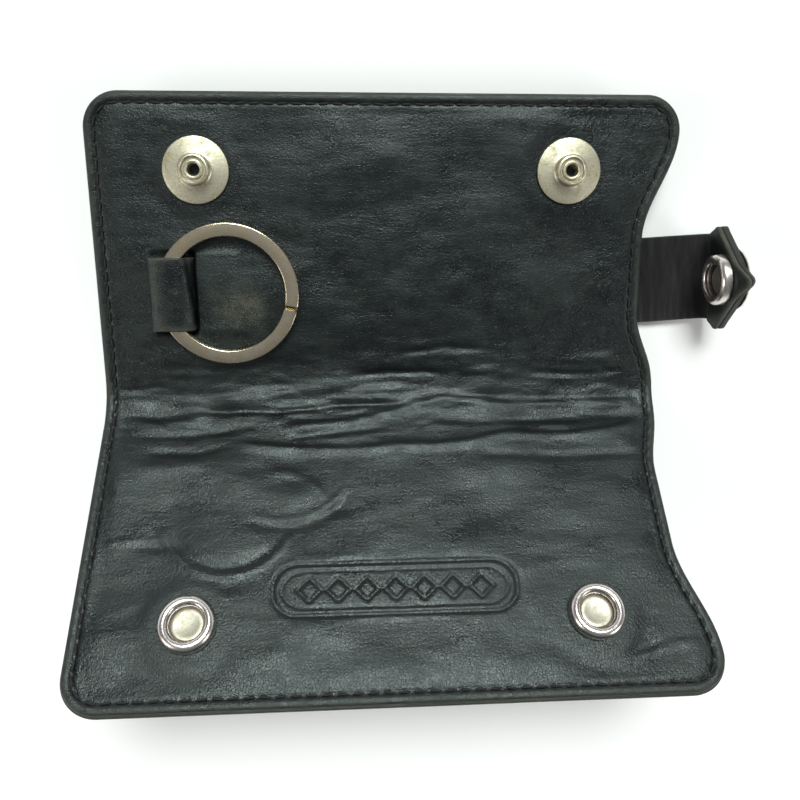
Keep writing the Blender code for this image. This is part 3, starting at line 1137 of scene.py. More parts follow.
FRONT_MARKS = (
    Arc(-36.0, -27.0, 14.9, 190, 342, 0.22, 1.1, 0.6),
    Arc(-36.0, -27.0, 12.9, 196, 336, -0.24, 1.3, 1.0),
    Arc(-24.0, -14.3, 15.3, 240, 330, 0.20, 0.6, 1.1),
    Arc(-24.0, -14.3, 17.0, 236, 330, -0.26, 1.0, 1.1),
    Arc(-28.0, -33.0, 15.3, 28, 92, 0.16, 1.0, 0.7),
    Dent(-11.6, -27.6, 3.0, 1.3, -0.35),
    Dent(-50.0, -35.0, 4.6, 1.2, -0.35),
    Dent(-22.0, -24.5, 6.0, 3.2, 0.35),
    Dent(-34.0, -34.5, 9.0, 4.2, 0.30),
    Wrinkle(((-63, -34.4), (-55, -33.4), (-49, -34.3)), 0.22, 0.6, 0.6, 3.0),
    Wrinkle(((46, -61.0), (51, -59.9), (56, -58.5), (62, -58.1)), 0.26, 0.6, 0.5, 4.0),
    Wrinkle(((44, -60.2), (50, -59.0), (55, -57.6)), -0.18, 0.6, 0.5, 4.0),
    Wrinkle(((-50, -45.5), (-40, -43.6), (-30, -44.6)), -0.14, 1.4, 1.0),
    Wrinkle(((-60, -59.5), (-48, -61.5), (-34, -60.5)), -0.14, 1.2, 1.2),
    Dent(56.0, -30.0, 6.0, 8.0, -0.25),
    Dent(-49.0, -25.0, 6.5, 9.0, -0.45),
)


@dataclass(frozen=True)
class Surface:
    """The soft unevenness of the lining, held down by the seam and the snaps."""

    outline: Outline
    side: int  # +1 for the back panel, -1 for the front
    marks: Sequence[Wrinkle | Arc | Dent]

    def calm(self, x: Array, s: Array) -> Array:
        """1 where the leather is free, 0 where a snap holds it flat.

        Args:
            x: Places across the leather.
            s: Places along it.

        Returns:
            One number for each place.
        """
        free = np.ones_like(x)
        for snap_x in SNAP_X.values():
            away = np.hypot(x - snap_x, np.abs(s) - SNAP_T - self.outline.spine_half)
            free *= smooth((away - 7.6) / 3.5)
        return free

    def sewn(self, x: Array, s: Array, edge: Array) -> Array:
        """The seam's furrow and the puckered rim outside it.

        Args:
            x: Places across the leather.
            s: Places along it.
            edge: Distances from the cut.

        Returns:
            One number for each place.
        """
        t = self.outline.along(s)
        along = np.where(self.outline.reach - t < 6.0, x, s)
        pucker = np.cos(2 * np.pi * along / SEAM_PITCH)
        furrow = -(0.30 + 0.06 * pucker) * np.exp(-(((edge - SEAM_AT) / 0.42) ** 2))
        rim = (0.10 + 0.05 * pucker) * np.exp(-(((edge - SEAM_AT + 1.1) / 0.6) ** 2))
        return furrow + rim - 0.10 * np.exp(-(((edge - SEAM_AT - 1.4) / 1.4) ** 2))

    def relief(self, x: Array, s: Array, edge: Array) -> Array:
        """The lining's height above flat.

        Args:
            x: Places across the leather.
            s: Places along it.
            edge: Distances from the cut.

        Returns:
            One number for each place.
        """
        free = self.calm(x, s) * smooth((edge - 1.5) / 4.0)
        folded = np.exp(-((s / 12.0) ** 2))
        found = 0.70 * ripple(x, s, 22.0, 14.0, 1.5) + 0.20 * ripple(x, s, 8.0, 5.0, 4.5)
        found += folded * (0.30 * ripple(x, s, 13.0, 2.8, 7.5) + 0.18 * ripple(x, s, 6.0, 1.6, 9.5))
        veins = ripple(x + 1.5 * ripple(x, s, 9.0, 4.0, 5.5), s, 7.5, 1.9, 14.5)
        found -= folded * 0.13 * (1.0 - np.abs(veins)) ** 8
        found += 0.06 * ripple(x, s, 4.5, 1.8, 12.5)
        for mark in (*FOLD_MARKS, *self.marks):
            found += mark.relief(x, s)
        return found * free + self.sewn(x, s, edge)


# ---- the leather body ------------------------------------------------------------------------------


@dataclass
class LeatherBody:
    """The cover and the lining, each in two halves that meet in the middle of the spine."""

    frames: Frames
    finishes: Finishes
    back: Outline = Outline(waist=59.2)
    front: Outline = Outline(waist=60.8)
    ease: float = 3.5  # how far past each hinge line the fold's curve reaches
    lining_inset: float = 0.4
    lining_round: float = 0.55
    cover_round: float = 0.6
    loop_half: float = 9.4
    blend_from: float = 8.4  # from the middle of the fold, as blend_to is
    blend_to: float = 0.7
    inner_seam: float = -0.10  # the heights of the seams' threads
    outer_seam: float = -PANEL_T + 0.08

    def __post_init__(self) -> None:
        """Works out the fold's curve."""
        back, front = self.frames.back, self.frames.front
        hinge_b, hinge_f = (np.array(a.matrix.translation)[1:] / MM for a in (back, front))
        way_b, way_f = (np.array(a.matrix.to_3x3().col[1])[1:] for a in (back, front))
        away = np.linalg.solve(np.array([way_b, way_f]).T, hinge_f - hinge_b)[0]
        first, last = hinge_f - self.ease * way_f, hinge_b + self.ease * way_b
        curve = Course.corner(first, hinge_b + away * way_b, last)
        length = np.hypot(*np.diff(curve, axis=0).T).sum()
        self.course = Course(
            points=curve,
            zero=length / 2,
            origin=Vector((back.matrix.translation.x, 0.0, 0.0)),
            across=Vector((1, 0, 0)),
            along=Vector((0, 1, 0)),
            up=Vector((0, 0, 1)),
        )

    def outline(self, side: int) -> Outline:
        """The back's cut shape for +1, and the front's for -1."""
        return self.back if side > 0 else self.front

    def blended(self, piece: bpy.types.Object, side: int) -> bpy.types.Object:
        """Bakes a half's placing into its mesh; the ends of its bend are found but not used.

        Args:
            piece: The piece.
            side: +1 for the back, -1 for the front.

        Returns:
            The piece.
        """
        start = self.course.point(0, side * self.blend_from)
        end = self.course.point(0, side * self.blend_to)
        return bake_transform(piece)

    def rows(self, side: int, inset: float, *runs: tuple[float, float, float]) -> Array:
        """s for each row of one half, from the middle of the fold to the edge, lowest first.

        Args:
            side: +1 for the back, -1 for the front.
            inset: Distance in from the cut.
            runs: Stretches as (start, end, spacing).

        Returns:
            s for each row.
        """
        outline = self.outline(side)
        end = outline.reach + outline.spine_half - inset
        close = np.array([0, 0.05, 0.15, 0.35, 0.65, 1, 1.4, 1.8, 2.2, 2.6, 3, 3.6, 4.3, 5])
        _, last, gap = runs[-1]
        found = np.concatenate([spaced(*runs, (last, end - 5.6, gap)), end - close[::-1]])
        return np.sort(side * found)

    def half(
        self,
        name: str,
        side: int,
        inset: float,
        rows: Array,
        inner: Array,
        upper: Relief,
        lower: Relief,
    ) -> Sheet:
        """One half of the cover or the lining.

        Args:
            name: The piece's name.
            side: +1 for the back, -1 for the front.
            inset: Distance in from the cut.
            rows: s for each row.
            inner: The columns between the close ones, as shares.
            upper: The upper face's height.
            lower: The lower face's height.

        Returns:
            The sheet, not yet built.
        """
        outline = self.outline(side)
        left, right = outline.ends(outline.along(rows), inset)
        edge = partial(outline.edge, inset=inset)
        sheet = Sheet(name, rows, framed(left, right, inner), edge, upper, lower, self.course)
        sheet.split = 0 if side > 0 else len(rows) - 1
        return sheet

    def lining_half(self, side: int) -> bpy.types.Object:
        """The lining's back or front half.

        Args:
            side: +1 for the back, -1 for the front.

        Returns:
            The piece.
        """
        outline = self.outline(side)
        surface = Surface(outline, side, FRONT_MARKS if side < 0 else ())
        low, wide = outline.left + EDGE_STEPS[-1], outline.waist - outline.left - 2 * EDGE_STEPS[-1]
        if side < 0:
            name = "front_lining_leather"
            runs = ((0, 16, 0.42), (16, 38, 0.7), (38, 52.5, 0.33), (52.5, 54, 0.7))
            inner = spaced((low, -27, 0.75), (-27, 27, 0.36), (27, low + wide, 0.75))
        else:
            name = "back_lining_leather"
            runs = ((0, 14, 0.42), (14, 40, 0.6), (40, 42, 0.7))
            inner = spaced((low, -47, 0.7), (-47, -42.4, 0.3), (-42.4, low + wide, 0.6))
        rows = self.rows(side, self.lining_inset, *runs)
        upper, lower = partial(self.lining_face, surface), Level(-LINING_T, 1, 0.12)
        sheet = self.half(name, side, self.lining_inset, rows, (inner - low) / wide, upper, lower)
        sheet.wear = self.lining_wear
        return sheet.build(self.finishes.lining)

    def lining_face(self, surface: Surface, x: Array, s: Array, edge: Array) -> Array:
        """The height of the lining's face.

        Args:
            surface: The lining's unevenness.
            x: Places across the leather.
            s: Places along it.
            edge: Distances from the cut.

        Returns:
            One number for each place.
        """
        found = surface.relief(x, s, edge)
        if surface.side < 0:
            found = found * (1 - 0.8 * smooth(1 - Stamp().plaque(x, s, 0.0) / 2)) + Stamp().relief(x, s)
        else:
            found = self.looped(x, surface.outline.along(s), found)
        return found - rolled(edge, self.lining_round)

    def looped(self, x: Array, t: Array, found: Array) -> Array:
        """The lining's heights with the key loop's hollow, slit and raised tail let in.

        Args:
            x: Places across the leather.
            t: Distances from the hinge line.
            found: The heights so far.

        Returns:
            One number for each place.
        """
        off, away = x - LOOP_X, np.abs(t - LOOP_T)
        beside = smooth((self.loop_half - away) / 0.5)
        under = beside * smooth((off + 9.6) / 1.2) * smooth((0.2 - off) / 0.4)
        tail = beside * smooth((off - 0.4) / 0.5) * smooth((11.0 - off) / 1.6)
        slit = smooth((1.0 - np.abs(off + 0.3)) / 0.45) * smooth((self.loop_half - 0.1 - away) / 0.4)
        return np.maximum(found * (1 - under) - 0.35 * under + 0.30 * tail - slit, 0.1 - LINING_T)

    def lining_wear(self, x: Array, s: Array, edge: Array) -> Array:
        """Where the lining's finish is rubbed through."""
        patch = Dent(-34.6, 21.6, 7.0, 5.6, 1.0).relief(x, s)
        return np.clip(patch + 0.25 * np.exp(-(((edge - 0.9) / 0.8) ** 2)), 0.0, 1.0)

    def cover_half(self, side: int) -> bpy.types.Object:
        """The cover's back or front half: its outside is the sheet's lower face.

        Args:
            side: +1 for the back, -1 for the front.

        Returns:
            The piece.
        """
        rows = self.rows(side, 0.0, (0, 14, 0.6), (14, 16, 0.9))
        name = "back_cover_leather" if side > 0 else "front_cover_leather"
        upper, lower = Level(COVER_T - PANEL_T, -1, 0.3), partial(self.cover_face, side)
        sheet = self.half(name, side, 0.0, rows, np.linspace(0.0, 1.0, 140), upper, lower)
        sheet.wear = self.cover_wear
        return sheet.build(self.finishes.cover)

    def cover_face(self, side: int, x: Array, s: Array, edge: Array) -> Array:
        """The height of the cover's outside, which is level round the snaps and under the strap.

        Args:
            side: +1 for the back, -1 for the front.
            x: Places across the leather.
            s: Places along it.
            edge: Distances from the cut.

        Returns:
            One number for each place.
        """
        outline = self.outline(side)
        t = outline.along(s)
        found = 0.22 * ripple(x, s, 26.0, 18.0, 21.5) + 0.07 * ripple(x, s, 7.0, 5.0, 23.5)
        found += np.exp(-((s / 9.0) ** 2)) * (0.16 * ripple(x, s, 16.0, 2.6, 25.5) + 0.12)
        knobs = [(at, SNAP_T, 5.0 if side > 0 else 7.0) for at in SNAP_X.values()]
        knobs += [] if side > 0 else [(51.6, 24.1, 5.6)]
        for knob_x, knob_t, radius in knobs:
            found *= smooth((np.hypot(x - knob_x, t - knob_t) - radius) / 3.0)
        if side > 0:
            found *= 1.0 - smooth((x - 28.0) / 4.0) * smooth((12.5 - np.abs(t - 24.0)) / 3.0)
        sewn = Surface(outline, side, ()).sewn(x, s, edge)
        return -PANEL_T - found - sewn * 0.8 + rolled(edge, self.cover_round)

    def cover_wear(self, x: Array, s: Array, edge: Array) -> Array:
        """Where the cover is rubbed: along its cut and down its fold."""
        return np.clip(0.5 * np.exp(-((edge / 0.9) ** 2)) + 0.3 * np.exp(-((s / 5.0) ** 2)), 0, 1)

    def stitches(self, name: str, side: int, height: float, inset: float) -> bpy.types.Object:
        """The seam's stitches on one face of one half, inset from the panel's cut."""
        x, away, way = self.outline(side).seam(inset, SEAM_PITCH)
        return stitched(name, x, side * away, side * way, height, self.course, self.finishes.thread)

    def build(self) -> None:
        """Makes both halves of the cover, the lining and the seams."""
        inset = SEAM_AT + self.lining_inset
        for side, panel in ((1, "back"), (-1, "front")):
            lining, cover = self.lining_half(side), self.cover_half(side)
            inner = self.stitches(f"{panel}_lining_stitches", side, self.inner_seam, inset)
            outer = self.stitches(f"{panel}_cover_stitches", side, self.outer_seam, SEAM_AT)
            fitted(lining, Slot.LINING, None, [f"lining_{panel}", "lining_spine"])
            fitted(cover, Slot.OUTER, None, [f"cover_{panel}", "cover_spine"])
            for piece in (lining, cover, inner, outer):
                self.blended(piece, side)


def stitched(
    name: str,
    x: Array,
    s: Array,
    way: Array,
    height: float,
    course: Course,
    look: bpy.types.Material,
    length: float = 2.35,
    radius: float = 0.25,
) -> bpy.types.Object:
    """A row of stitches laid on a course.

    Args:
        name: The piece's name.
        x: Where each stitch is across the leather.
        s: Where each is along it.
        way: Each one's direction in radians.
        height: Where the thread's middle runs.
        course: What it is laid on.
        look: The thread.
        length: One stitch's length.
        radius: The thread's radius.

    Returns:
        The object.
    """
    mesh = bmesh.new()
    local = mesh.verts.layers.float_vector.new("place")
    stretch = Matrix.Diagonal((length / 2 / radius, 1.0, 1.0, 1.0))
    upright = Matrix.Rotation(math.pi / 2, 4, "Y")
    for index, (at_x, at_s, angle) in enumerate(zip(x, s, way)):
        lean = math.radians(6.0) * math.sin(index * 2.3)
        made = bmesh.ops.create_uvsphere(
            mesh, u_segments=8, v_segments=7, radius=radius, matrix=upright
        )["verts"]
        for vert in made:
            vert.co.x = math.copysign(abs(vert.co.x / radius) ** 0.8 * radius, vert.co.x)
            vert[local] = (stretch @ vert.co) + Vector((index * 5.0, 0.0, 0.0))
        turn = Matrix.Rotation(angle + lean, 4, "Z")
        spot = Matrix.Translation((at_x, at_s, height)) @ turn @ stretch
        bmesh.ops.transform(mesh, matrix=spot, verts=made)
    flat = np.array([vert.co[:] for vert in mesh.verts])
    for vert, co in zip(mesh.verts, course.carry(*flat.T)):
        vert.co = co
    return placed(name, mesh, look)


# ---- metal -----------------------------------------------------------------------------------------


def turned(
    name: str, profile: Profile, axes: Axes, look: bpy.types.Material, steps: int = 72
) -> bpy.types.Object:
    """A piece turned about its own Z.

    Args:
        name: The piece's name.
        profile: (radius, height) points in millimetres, in order round the section.
        axes: Where the piece stands.
        look: Its finish.
        steps: Sections round it.

    Returns:
        The object.
    """
    mesh = bmesh.new()
    points = [mesh.verts.new((r * MM, 0.0, z * MM)) for r, z in profile]
    edges = [mesh.edges.new(pair) for pair in zip(points, points[1:])]
    if profile[0][0] > 0:
        edges.append(mesh.edges.new((points[-1], points[0])))
    bmesh.ops.spin(
        mesh,
        geom=points + edges,
        cent=(0, 0, 0),
        axis=(0, 0, 1),
        angle=2 * math.pi,
        steps=steps,
        use_merge=True,
    )
    bmesh.ops.remove_doubles(mesh, verts=mesh.verts, dist=1e-6)
    bmesh.ops.recalc_face_normals(mesh, faces=mesh.faces)
    bmesh.ops.transform(mesh, matrix=axes.matrix, verts=mesh.verts)
    return placed(name, mesh, look, sharp=38.0)


@dataclass(frozen=True)
class Snap:
    """One press snap's parts, sized to the leather that they clinch."""

    name: str
    male: Axes  # on the leather's face, looking out of the stud
    female: Axes
    male_body: str
    female_body: str
    flange: float
    flange_h: float
    rise: float
    male_stack: float
    male_base: tuple[float, float]
    male_floor: float
    female_stack: float
    socket_h: float
    socket_floor: float

    def stud(self) -> Profile:
        """The flange and the hollow boss.

        Returns:
            (radius, height) points in millimetres.
        """
        h, k = self.flange_h, self.rise
        r = self.flange
        foot = [(1.85, h + 0.77 * k), (1.85, 0.05), (r - 0.25, 0.05), (r, 0.16), (r + 0.01, h - 0.42)]
        skirt = [(r - 0.12, h - 0.22), (r - 0.45, h - 0.14), (r * 0.8, h + 0.01)]
        skirt += [(r * 0.66, h + 0.06 * k), (4.1, h + 0.11 * k)]
        boss = [(3.65, 0.14), (3.34, 0.22), (3.22, 0.32), (3.22, 0.48), (3.36, 0.62), (3.46, 0.74)]
        boss.append((3.42, 0.86))
        lip = [(3.28, 0.94), (3.05, 0.99), (2.85, 1.0), (2.7, 0.965), (2.6, 0.9), (2.55, 0.77)]
        return foot + skirt + [(a, h + b * k) for a, b in boss + lip]

    def eyelet(self) -> Profile:
        """The base behind the leather, the tube and its flared end.

        Returns:
            (radius, height) points in millimetres.
        """
        low = -self.male_stack - 0.05
        base_r, base_t = self.male_base
        base = [(0, low - base_t), (base_r * 0.5, low - base_t * 0.98)]
        base += [(base_r * 0.8, low - base_t * 0.9), (base_r - 0.25, low - base_t * 0.68)]
        base.append((base_r - 0.04, low - base_t * 0.4))
        base.append((base_r, low - 0.1))
        top = self.male_floor + 0.05
        tube = [(base_r - 0.05, low), (1.65, low), (1.65, top), (2.06, top + 0.03), (2.14, top + 0.12)]
        flare = [(2.1, top + 0.25), (1.95, top + 0.35), (1.75, top + 0.4), (1.5, top + 0.34)]
        hole = [(1.36, top + 0.2), (1.3, top), (1.3, low + 0.1), (0, low + 0.1)]
        return base + tube + flare + hole

    def socket(self) -> Profile:
        """The cup with its rolled rim and the spring's groove.

        Returns:
            (radius, height) points in millimetres.
        """
        h = self.socket_h
        wall = [(5.55, 0.05), (5.7, 0.2), (5.7, h - 1.3), (5.66, h - 0.95), (5.54, h - 0.62)]
        rim = [(5.34, h - 0.34), (5.05, h - 0.12), (4.75, h - 0.02), (4.5, h), (4.22, h - 0.05)]
        rim += [(3.98, h - 0.17), (3.8, h - 0.36)]
        mouth = [(3.71, h - 0.58), (3.72, h - 0.74), (4.6, h - 0.8), (4.6, h - 1.6), (3.62, h - 1.66)]
        return wall + rim + mouth + [(3.6, self.socket_floor), (2.3, self.socket_floor), (2.3, 0.05)]

    def spring(self) -> Profile:
        """The round wire in the groove."""
        ring_r, wire_r, middle = 4.12, 0.3, self.socket_h - 1.2
        turns = np.arange(12) * math.tau / 12
        return [(ring_r + wire_r * math.cos(a), middle + wire_r * math.sin(a)) for a in turns]

    def cap(self) -> Profile:
        """The domed cap outside, its post and the dished head in the socket.

        Returns:
            (radius, height) points in millimetres.
        """
        back, low = -self.female_stack - 0.05, self.socket_floor + 0.05
        dome = [(0, -1.6), (1.4, -1.58), (2.8, -1.49), (4.0, -1.34), (4.9, -1.14), (5.3, -0.96)]
        dome += [(5.6, -0.98), (6.1, -0.84), (6.6, -0.58), (6.9, -0.32), (6.98, -0.12), (6.9, 0)]
        dome += [(6.3, 0), (6.0, -0.3), (2.6, -0.9), (2.1, -0.8)]
        dome = [(radius, back + height) for radius, height in dome]
        head = [(2.1, 0), (2.95, 0.02), (3.18, 0.1), (3.14, 0.22), (2.85, 0.28), (2.3, 0.2)]
        head += [(1.5, 0.1), (0.6, 0.05), (0, 0.045)]
        return dome + [(radius, low + height) for radius, height in head]

    def build(self, looks: Finishes, dull: bool) -> None:
        """Makes and fits the five parts.

        Args:
            looks: The wallet's finishes.
            dull: Whether the stud and its eyelet have aged.
        """
        male, female = (self.male, self.male_body), (self.female, self.female_body)
        stud_look, stud_slot = (looks.dull, Slot.DULL) if dull else (looks.nickel, Slot.NICKEL)
        parts = (
            ("stud_cup", "stud", self.stud(), male, stud_look, stud_slot),
            ("stud_eyelet", "eyelet", self.eyelet(), male, stud_look, Slot.NICKEL),
            ("socket_cup", "socket", self.socket(), female, looks.nickel, Slot.NICKEL),
            ("socket_spring", "spring", self.spring(), female, looks.spring, Slot.SPRING),
            ("socket_cap", "cap", self.cap(), female, looks.nickel, Slot.NICKEL),
        )
        made = {}
        for part, node, profile, (axes, body), look, slot in parts:
            made[node] = turned(f"{self.name}_{part}", profile, axes, look)
            fitted(made[node], slot, body, [self.node(node)])
        # The socket's inside below its mouth takes the dark metal: painted shade.
        bore, mouth = 4.0, self.socket_h - 0.45
        self.inlaid(made["socket"], looks.hollow, lambda at: at.xy.length < bore and at.z < mouth)
        self.inlaid(made["cap"], looks.disc, lambda at: at.z > 0)

    def inlaid(
        self, piece: bpy.types.Object, look: bpy.types.Material, chosen: Callable[[Vector], bool]
    ) -> None:
        """Gives a second look to the faces of a female part whose middles are chosen, in millimetres.

        Args:
            piece: The part.
            look: The second look.
            chosen: Says which middles, in millimetres, take it.
        """
        piece.data.materials.append(look)
        inward = self.female.matrix.inverted()
        for polygon in piece.data.polygons:
            polygon.material_index = int(chosen((inward @ polygon.center) / MM))

    def node(self, part: str) -> str:
        """The CAD node that one of the parts stands for.

        Args:
            part: The part's plain name.

        Returns:
            The node's name.
        """
        if self.name == "tab":
            return f"tab_{part}"
        return f"closing_{part}_{self.name.split('_')[-1]}"


@dataclass(frozen=True)
class KeyRing:
    """A split ring of flat wire, two turns round, with a step from the lower turn to the upper."""

    frames: Frames
    outer_r: float = 15.75
    wire_w: float = 3.0
    wire_t: float = 1.05
    slit: float = 0.2
    jog: float = 3.5
    end_gap: float = 1.3
    end_at: float = -12.0
    corner: float = 0.28
    turn_steps: int = 110
    jog_steps: int = 12

    def build(self, look: bpy.types.Material) -> bpy.types.Object:
        """Sweeps the wire's section round both turns.

        Args:
            look: Its finish.

        Returns:
            The piece.
        """
        turn = 360.0 - self.jog - self.end_gap
        start = self.end_at + 720.0 - self.jog - self.end_gap
        rise = self.wire_t + self.slit
        mesh = bmesh.new()
        made = bmesh.ops.create_grid(mesh, x_segments=1, y_segments=1, size=0.5 * MM)["verts"]
        bmesh.ops.scale(mesh, vec=(self.wire_w, self.wire_t, 1.0), verts=made)
        bmesh.ops.bevel(
            mesh,
            geom=mesh.verts[:],
            offset=self.corner * MM,
            segments=4,
            profile=0.5,
            affect="VERTICES",
            material=-1,
        )
        out = Matrix.Translation(Vector((self.outer_r - self.wire_w / 2, 0.0, -rise / 2)) * MM)
        stand = Matrix.Rotation(math.radians(start), 4, "Z") @ out
        stand = stand @ Matrix.Rotation(math.pi / 2, 4, "X")
        bmesh.ops.transform(mesh, matrix=stand, verts=mesh.verts)
        geometry = mesh.verts[:] + mesh.edges[:] + mesh.faces[:]
        once = (turn, self.turn_steps, 0.0)
        step_up = (self.jog, self.jog_steps, rise / self.jog_steps * MM)
        for angle, steps, lift in (once, step_up, once):
            geometry = bmesh.ops.spin(
                mesh,
                geom=geometry,
                cent=(0, 0, 0),
                axis=(0, 0, 1),
                dvec=(0, 0, lift),
                angle=-math.radians(angle),
                steps=steps,
            )["geom_last"]
        bmesh.ops.remove_doubles(mesh, verts=mesh.verts, dist=1e-7)
        bmesh.ops.recalc_face_normals(mesh, faces=mesh.faces)
        axes = self.frames.ring.moved(self.outer_r - self.wire_w, 0.0, 0.0)
        bmesh.ops.transform(mesh, matrix=axes.matrix, verts=mesh.verts)
        return placed("split_ring", mesh, look, sharp=50.0)


# ---- loop and strap --------------------------------------------------------------------------------


def oblong(half: Array, count: int) -> Array:
    """x for rows of so many columns, each row as wide as its half, with close columns at both sides.

    Args:
        half: Each row's half width.
        count: How many columns.

    Returns:
        x for each row and column.
    """
    share = np.linspace(-1.0, 1.0, count)
    eased_out = np.sign(share) * (1 - (1 - np.abs(share)) ** 1.5)
    return half[:, None] * eased_out[None, :]


@dataclass(frozen=True)
class KeyLoop:
    """The leather loop that holds the key ring, with both ends through a slit in the lining."""

    frames: Frames
    ring_z: float = 2.2  # from the panel's face up to the ring's middle
    half: float = 8.2
    thick: float = 0.8
    rows: int = 110
    columns: int = 56
    stitches_each_way: int = 3
    stitch_gap: float = 2.55
    stitch_off: float = 2.2

    def course(self) -> Course:
        """Under the ring, round the left end, over the ring and down through the slit.

        Returns:
            The course.
        """
        line = [(-1.05, -4.1), (-1.05, -2.9), (-1.5, -2.1), (-2.6, -1.78), (-5.0, -1.75), (-7.3, -1.74)]
        line += [(-8.5, -1.2), (-8.95, -0.1), (-8.55, 0.95), (-7.3, 1.5), (-5.2, 1.6), (-3.2, 1.46)]
        line += [(-1.5, 0.8), (-0.45, -0.3), (-0.12, -1.6), (-0.08, -2.8), (-0.08, -4.1)]
        points = Course.spline(line)
        turn = self.frames.back.matrix.to_3x3()
        return Course(
            points=points,
            zero=0.0,
            origin=self.frames.back.point(LOOP_X, LOOP_T, self.ring_z),
            across=-turn.col[1],
            along=turn.col[0],
            up=turn.col[2],
        )

    def cut_edge(self, x: Array, s: Array) -> Array:
        """Distance from the band's sides."""
        return self.half - np.abs(x)

    def crumple(self, x: Array, s: Array) -> Array:
        """The band's unevenness, with a slanting crease across its top.

        Args:
            x: Places across the leather.
            s: Places along it.

        Returns:
            One number for each place.
        """
        found = 0.10 * ripple(x, s, 3.0, 6.0, 31.5) + 0.05 * ripple(x, s, 1.4, 2.0, 33.5)
        top = smooth((s - 16.0) / 2.0) * smooth((24.5 - s) / 2.0)
        slant = (s - 19.5) - 0.16 * x
        crease = 0.12 * np.exp(-((slant / 0.8) ** 2)) - 0.28 * np.exp(-(((slant - 1.7) / 0.9) ** 2))
        found += top * crease + 0.04 * ripple(x, s, 0.8, 1.6, 35.5)
        return found + 0.07 * np.exp(-(((self.half - np.abs(x)) / 0.9) ** 2))

    def outside(self, x: Array, s: Array, edge: Array) -> Array:
        """The height of the band's grain side."""
        return self.thick / 2 + self.crumple(x, s) - rolled(edge, 0.38)

    def inside(self, x: Array, s: Array, edge: Array) -> Array:
        """The height of the band's flesh side."""
        return -self.thick / 2 + rolled(edge, 0.35) * 0.9

    def wear(self, x: Array, s: Array, edge: Array) -> Array:
        """Where the band is rubbed: at its sides and round its left end."""
        sides, turn = np.exp(-((edge / 0.7) ** 2)), np.exp(-(((s - 13.0) / 2.2) ** 2))
        return np.clip(0.55 * sides + 0.45 * turn, 0, 1)

    def build(self, look: bpy.types.Material) -> bpy.types.Object:
        """Makes the band.

        Args:
            look: Its finish.

        Returns:
            The piece.
        """
        course = self.course()
        rows = np.linspace(0.0, course.length, self.rows)
        lattice = oblong(np.full(self.rows, self.half), self.columns)
        return Sheet(
            name="ring_loop_leather",
            rows=rows,
            lattice=lattice,
            edge=self.cut_edge,
            upper=self.outside,
            lower=self.inside,
            course=course,
            wear=self.wear,
        ).build(look)

    def stitches(self, look: bpy.types.Material) -> bpy.types.Object:
        """The line of stitches beside the slit, through the loop's tail.

        Args:
            look: Its finish.

        Returns:
            The piece.
        """
        each_way = self.stitches_each_way
        t = np.arange(-each_way, each_way + 1) * self.stitch_gap + LOOP_T
        turn = self.frames.back.matrix.to_3x3()
        flat = Course(
            points=np.array([(0.0, 0.0), (1.0, 0.0)]),
            zero=0.0,
            origin=self.frames.back.point(0.0, 0.0, 0.0),
            across=turn.col[0],
            along=turn.col[1],
            up=turn.col[2],
        )
        x, way = np.full(len(t), LOOP_X + self.stitch_off), np.full(len(t), math.pi / 2)
        return stitched("loop_tail_stitches", x, t, way, 0.32, flat, look, 1.9, 0.24)


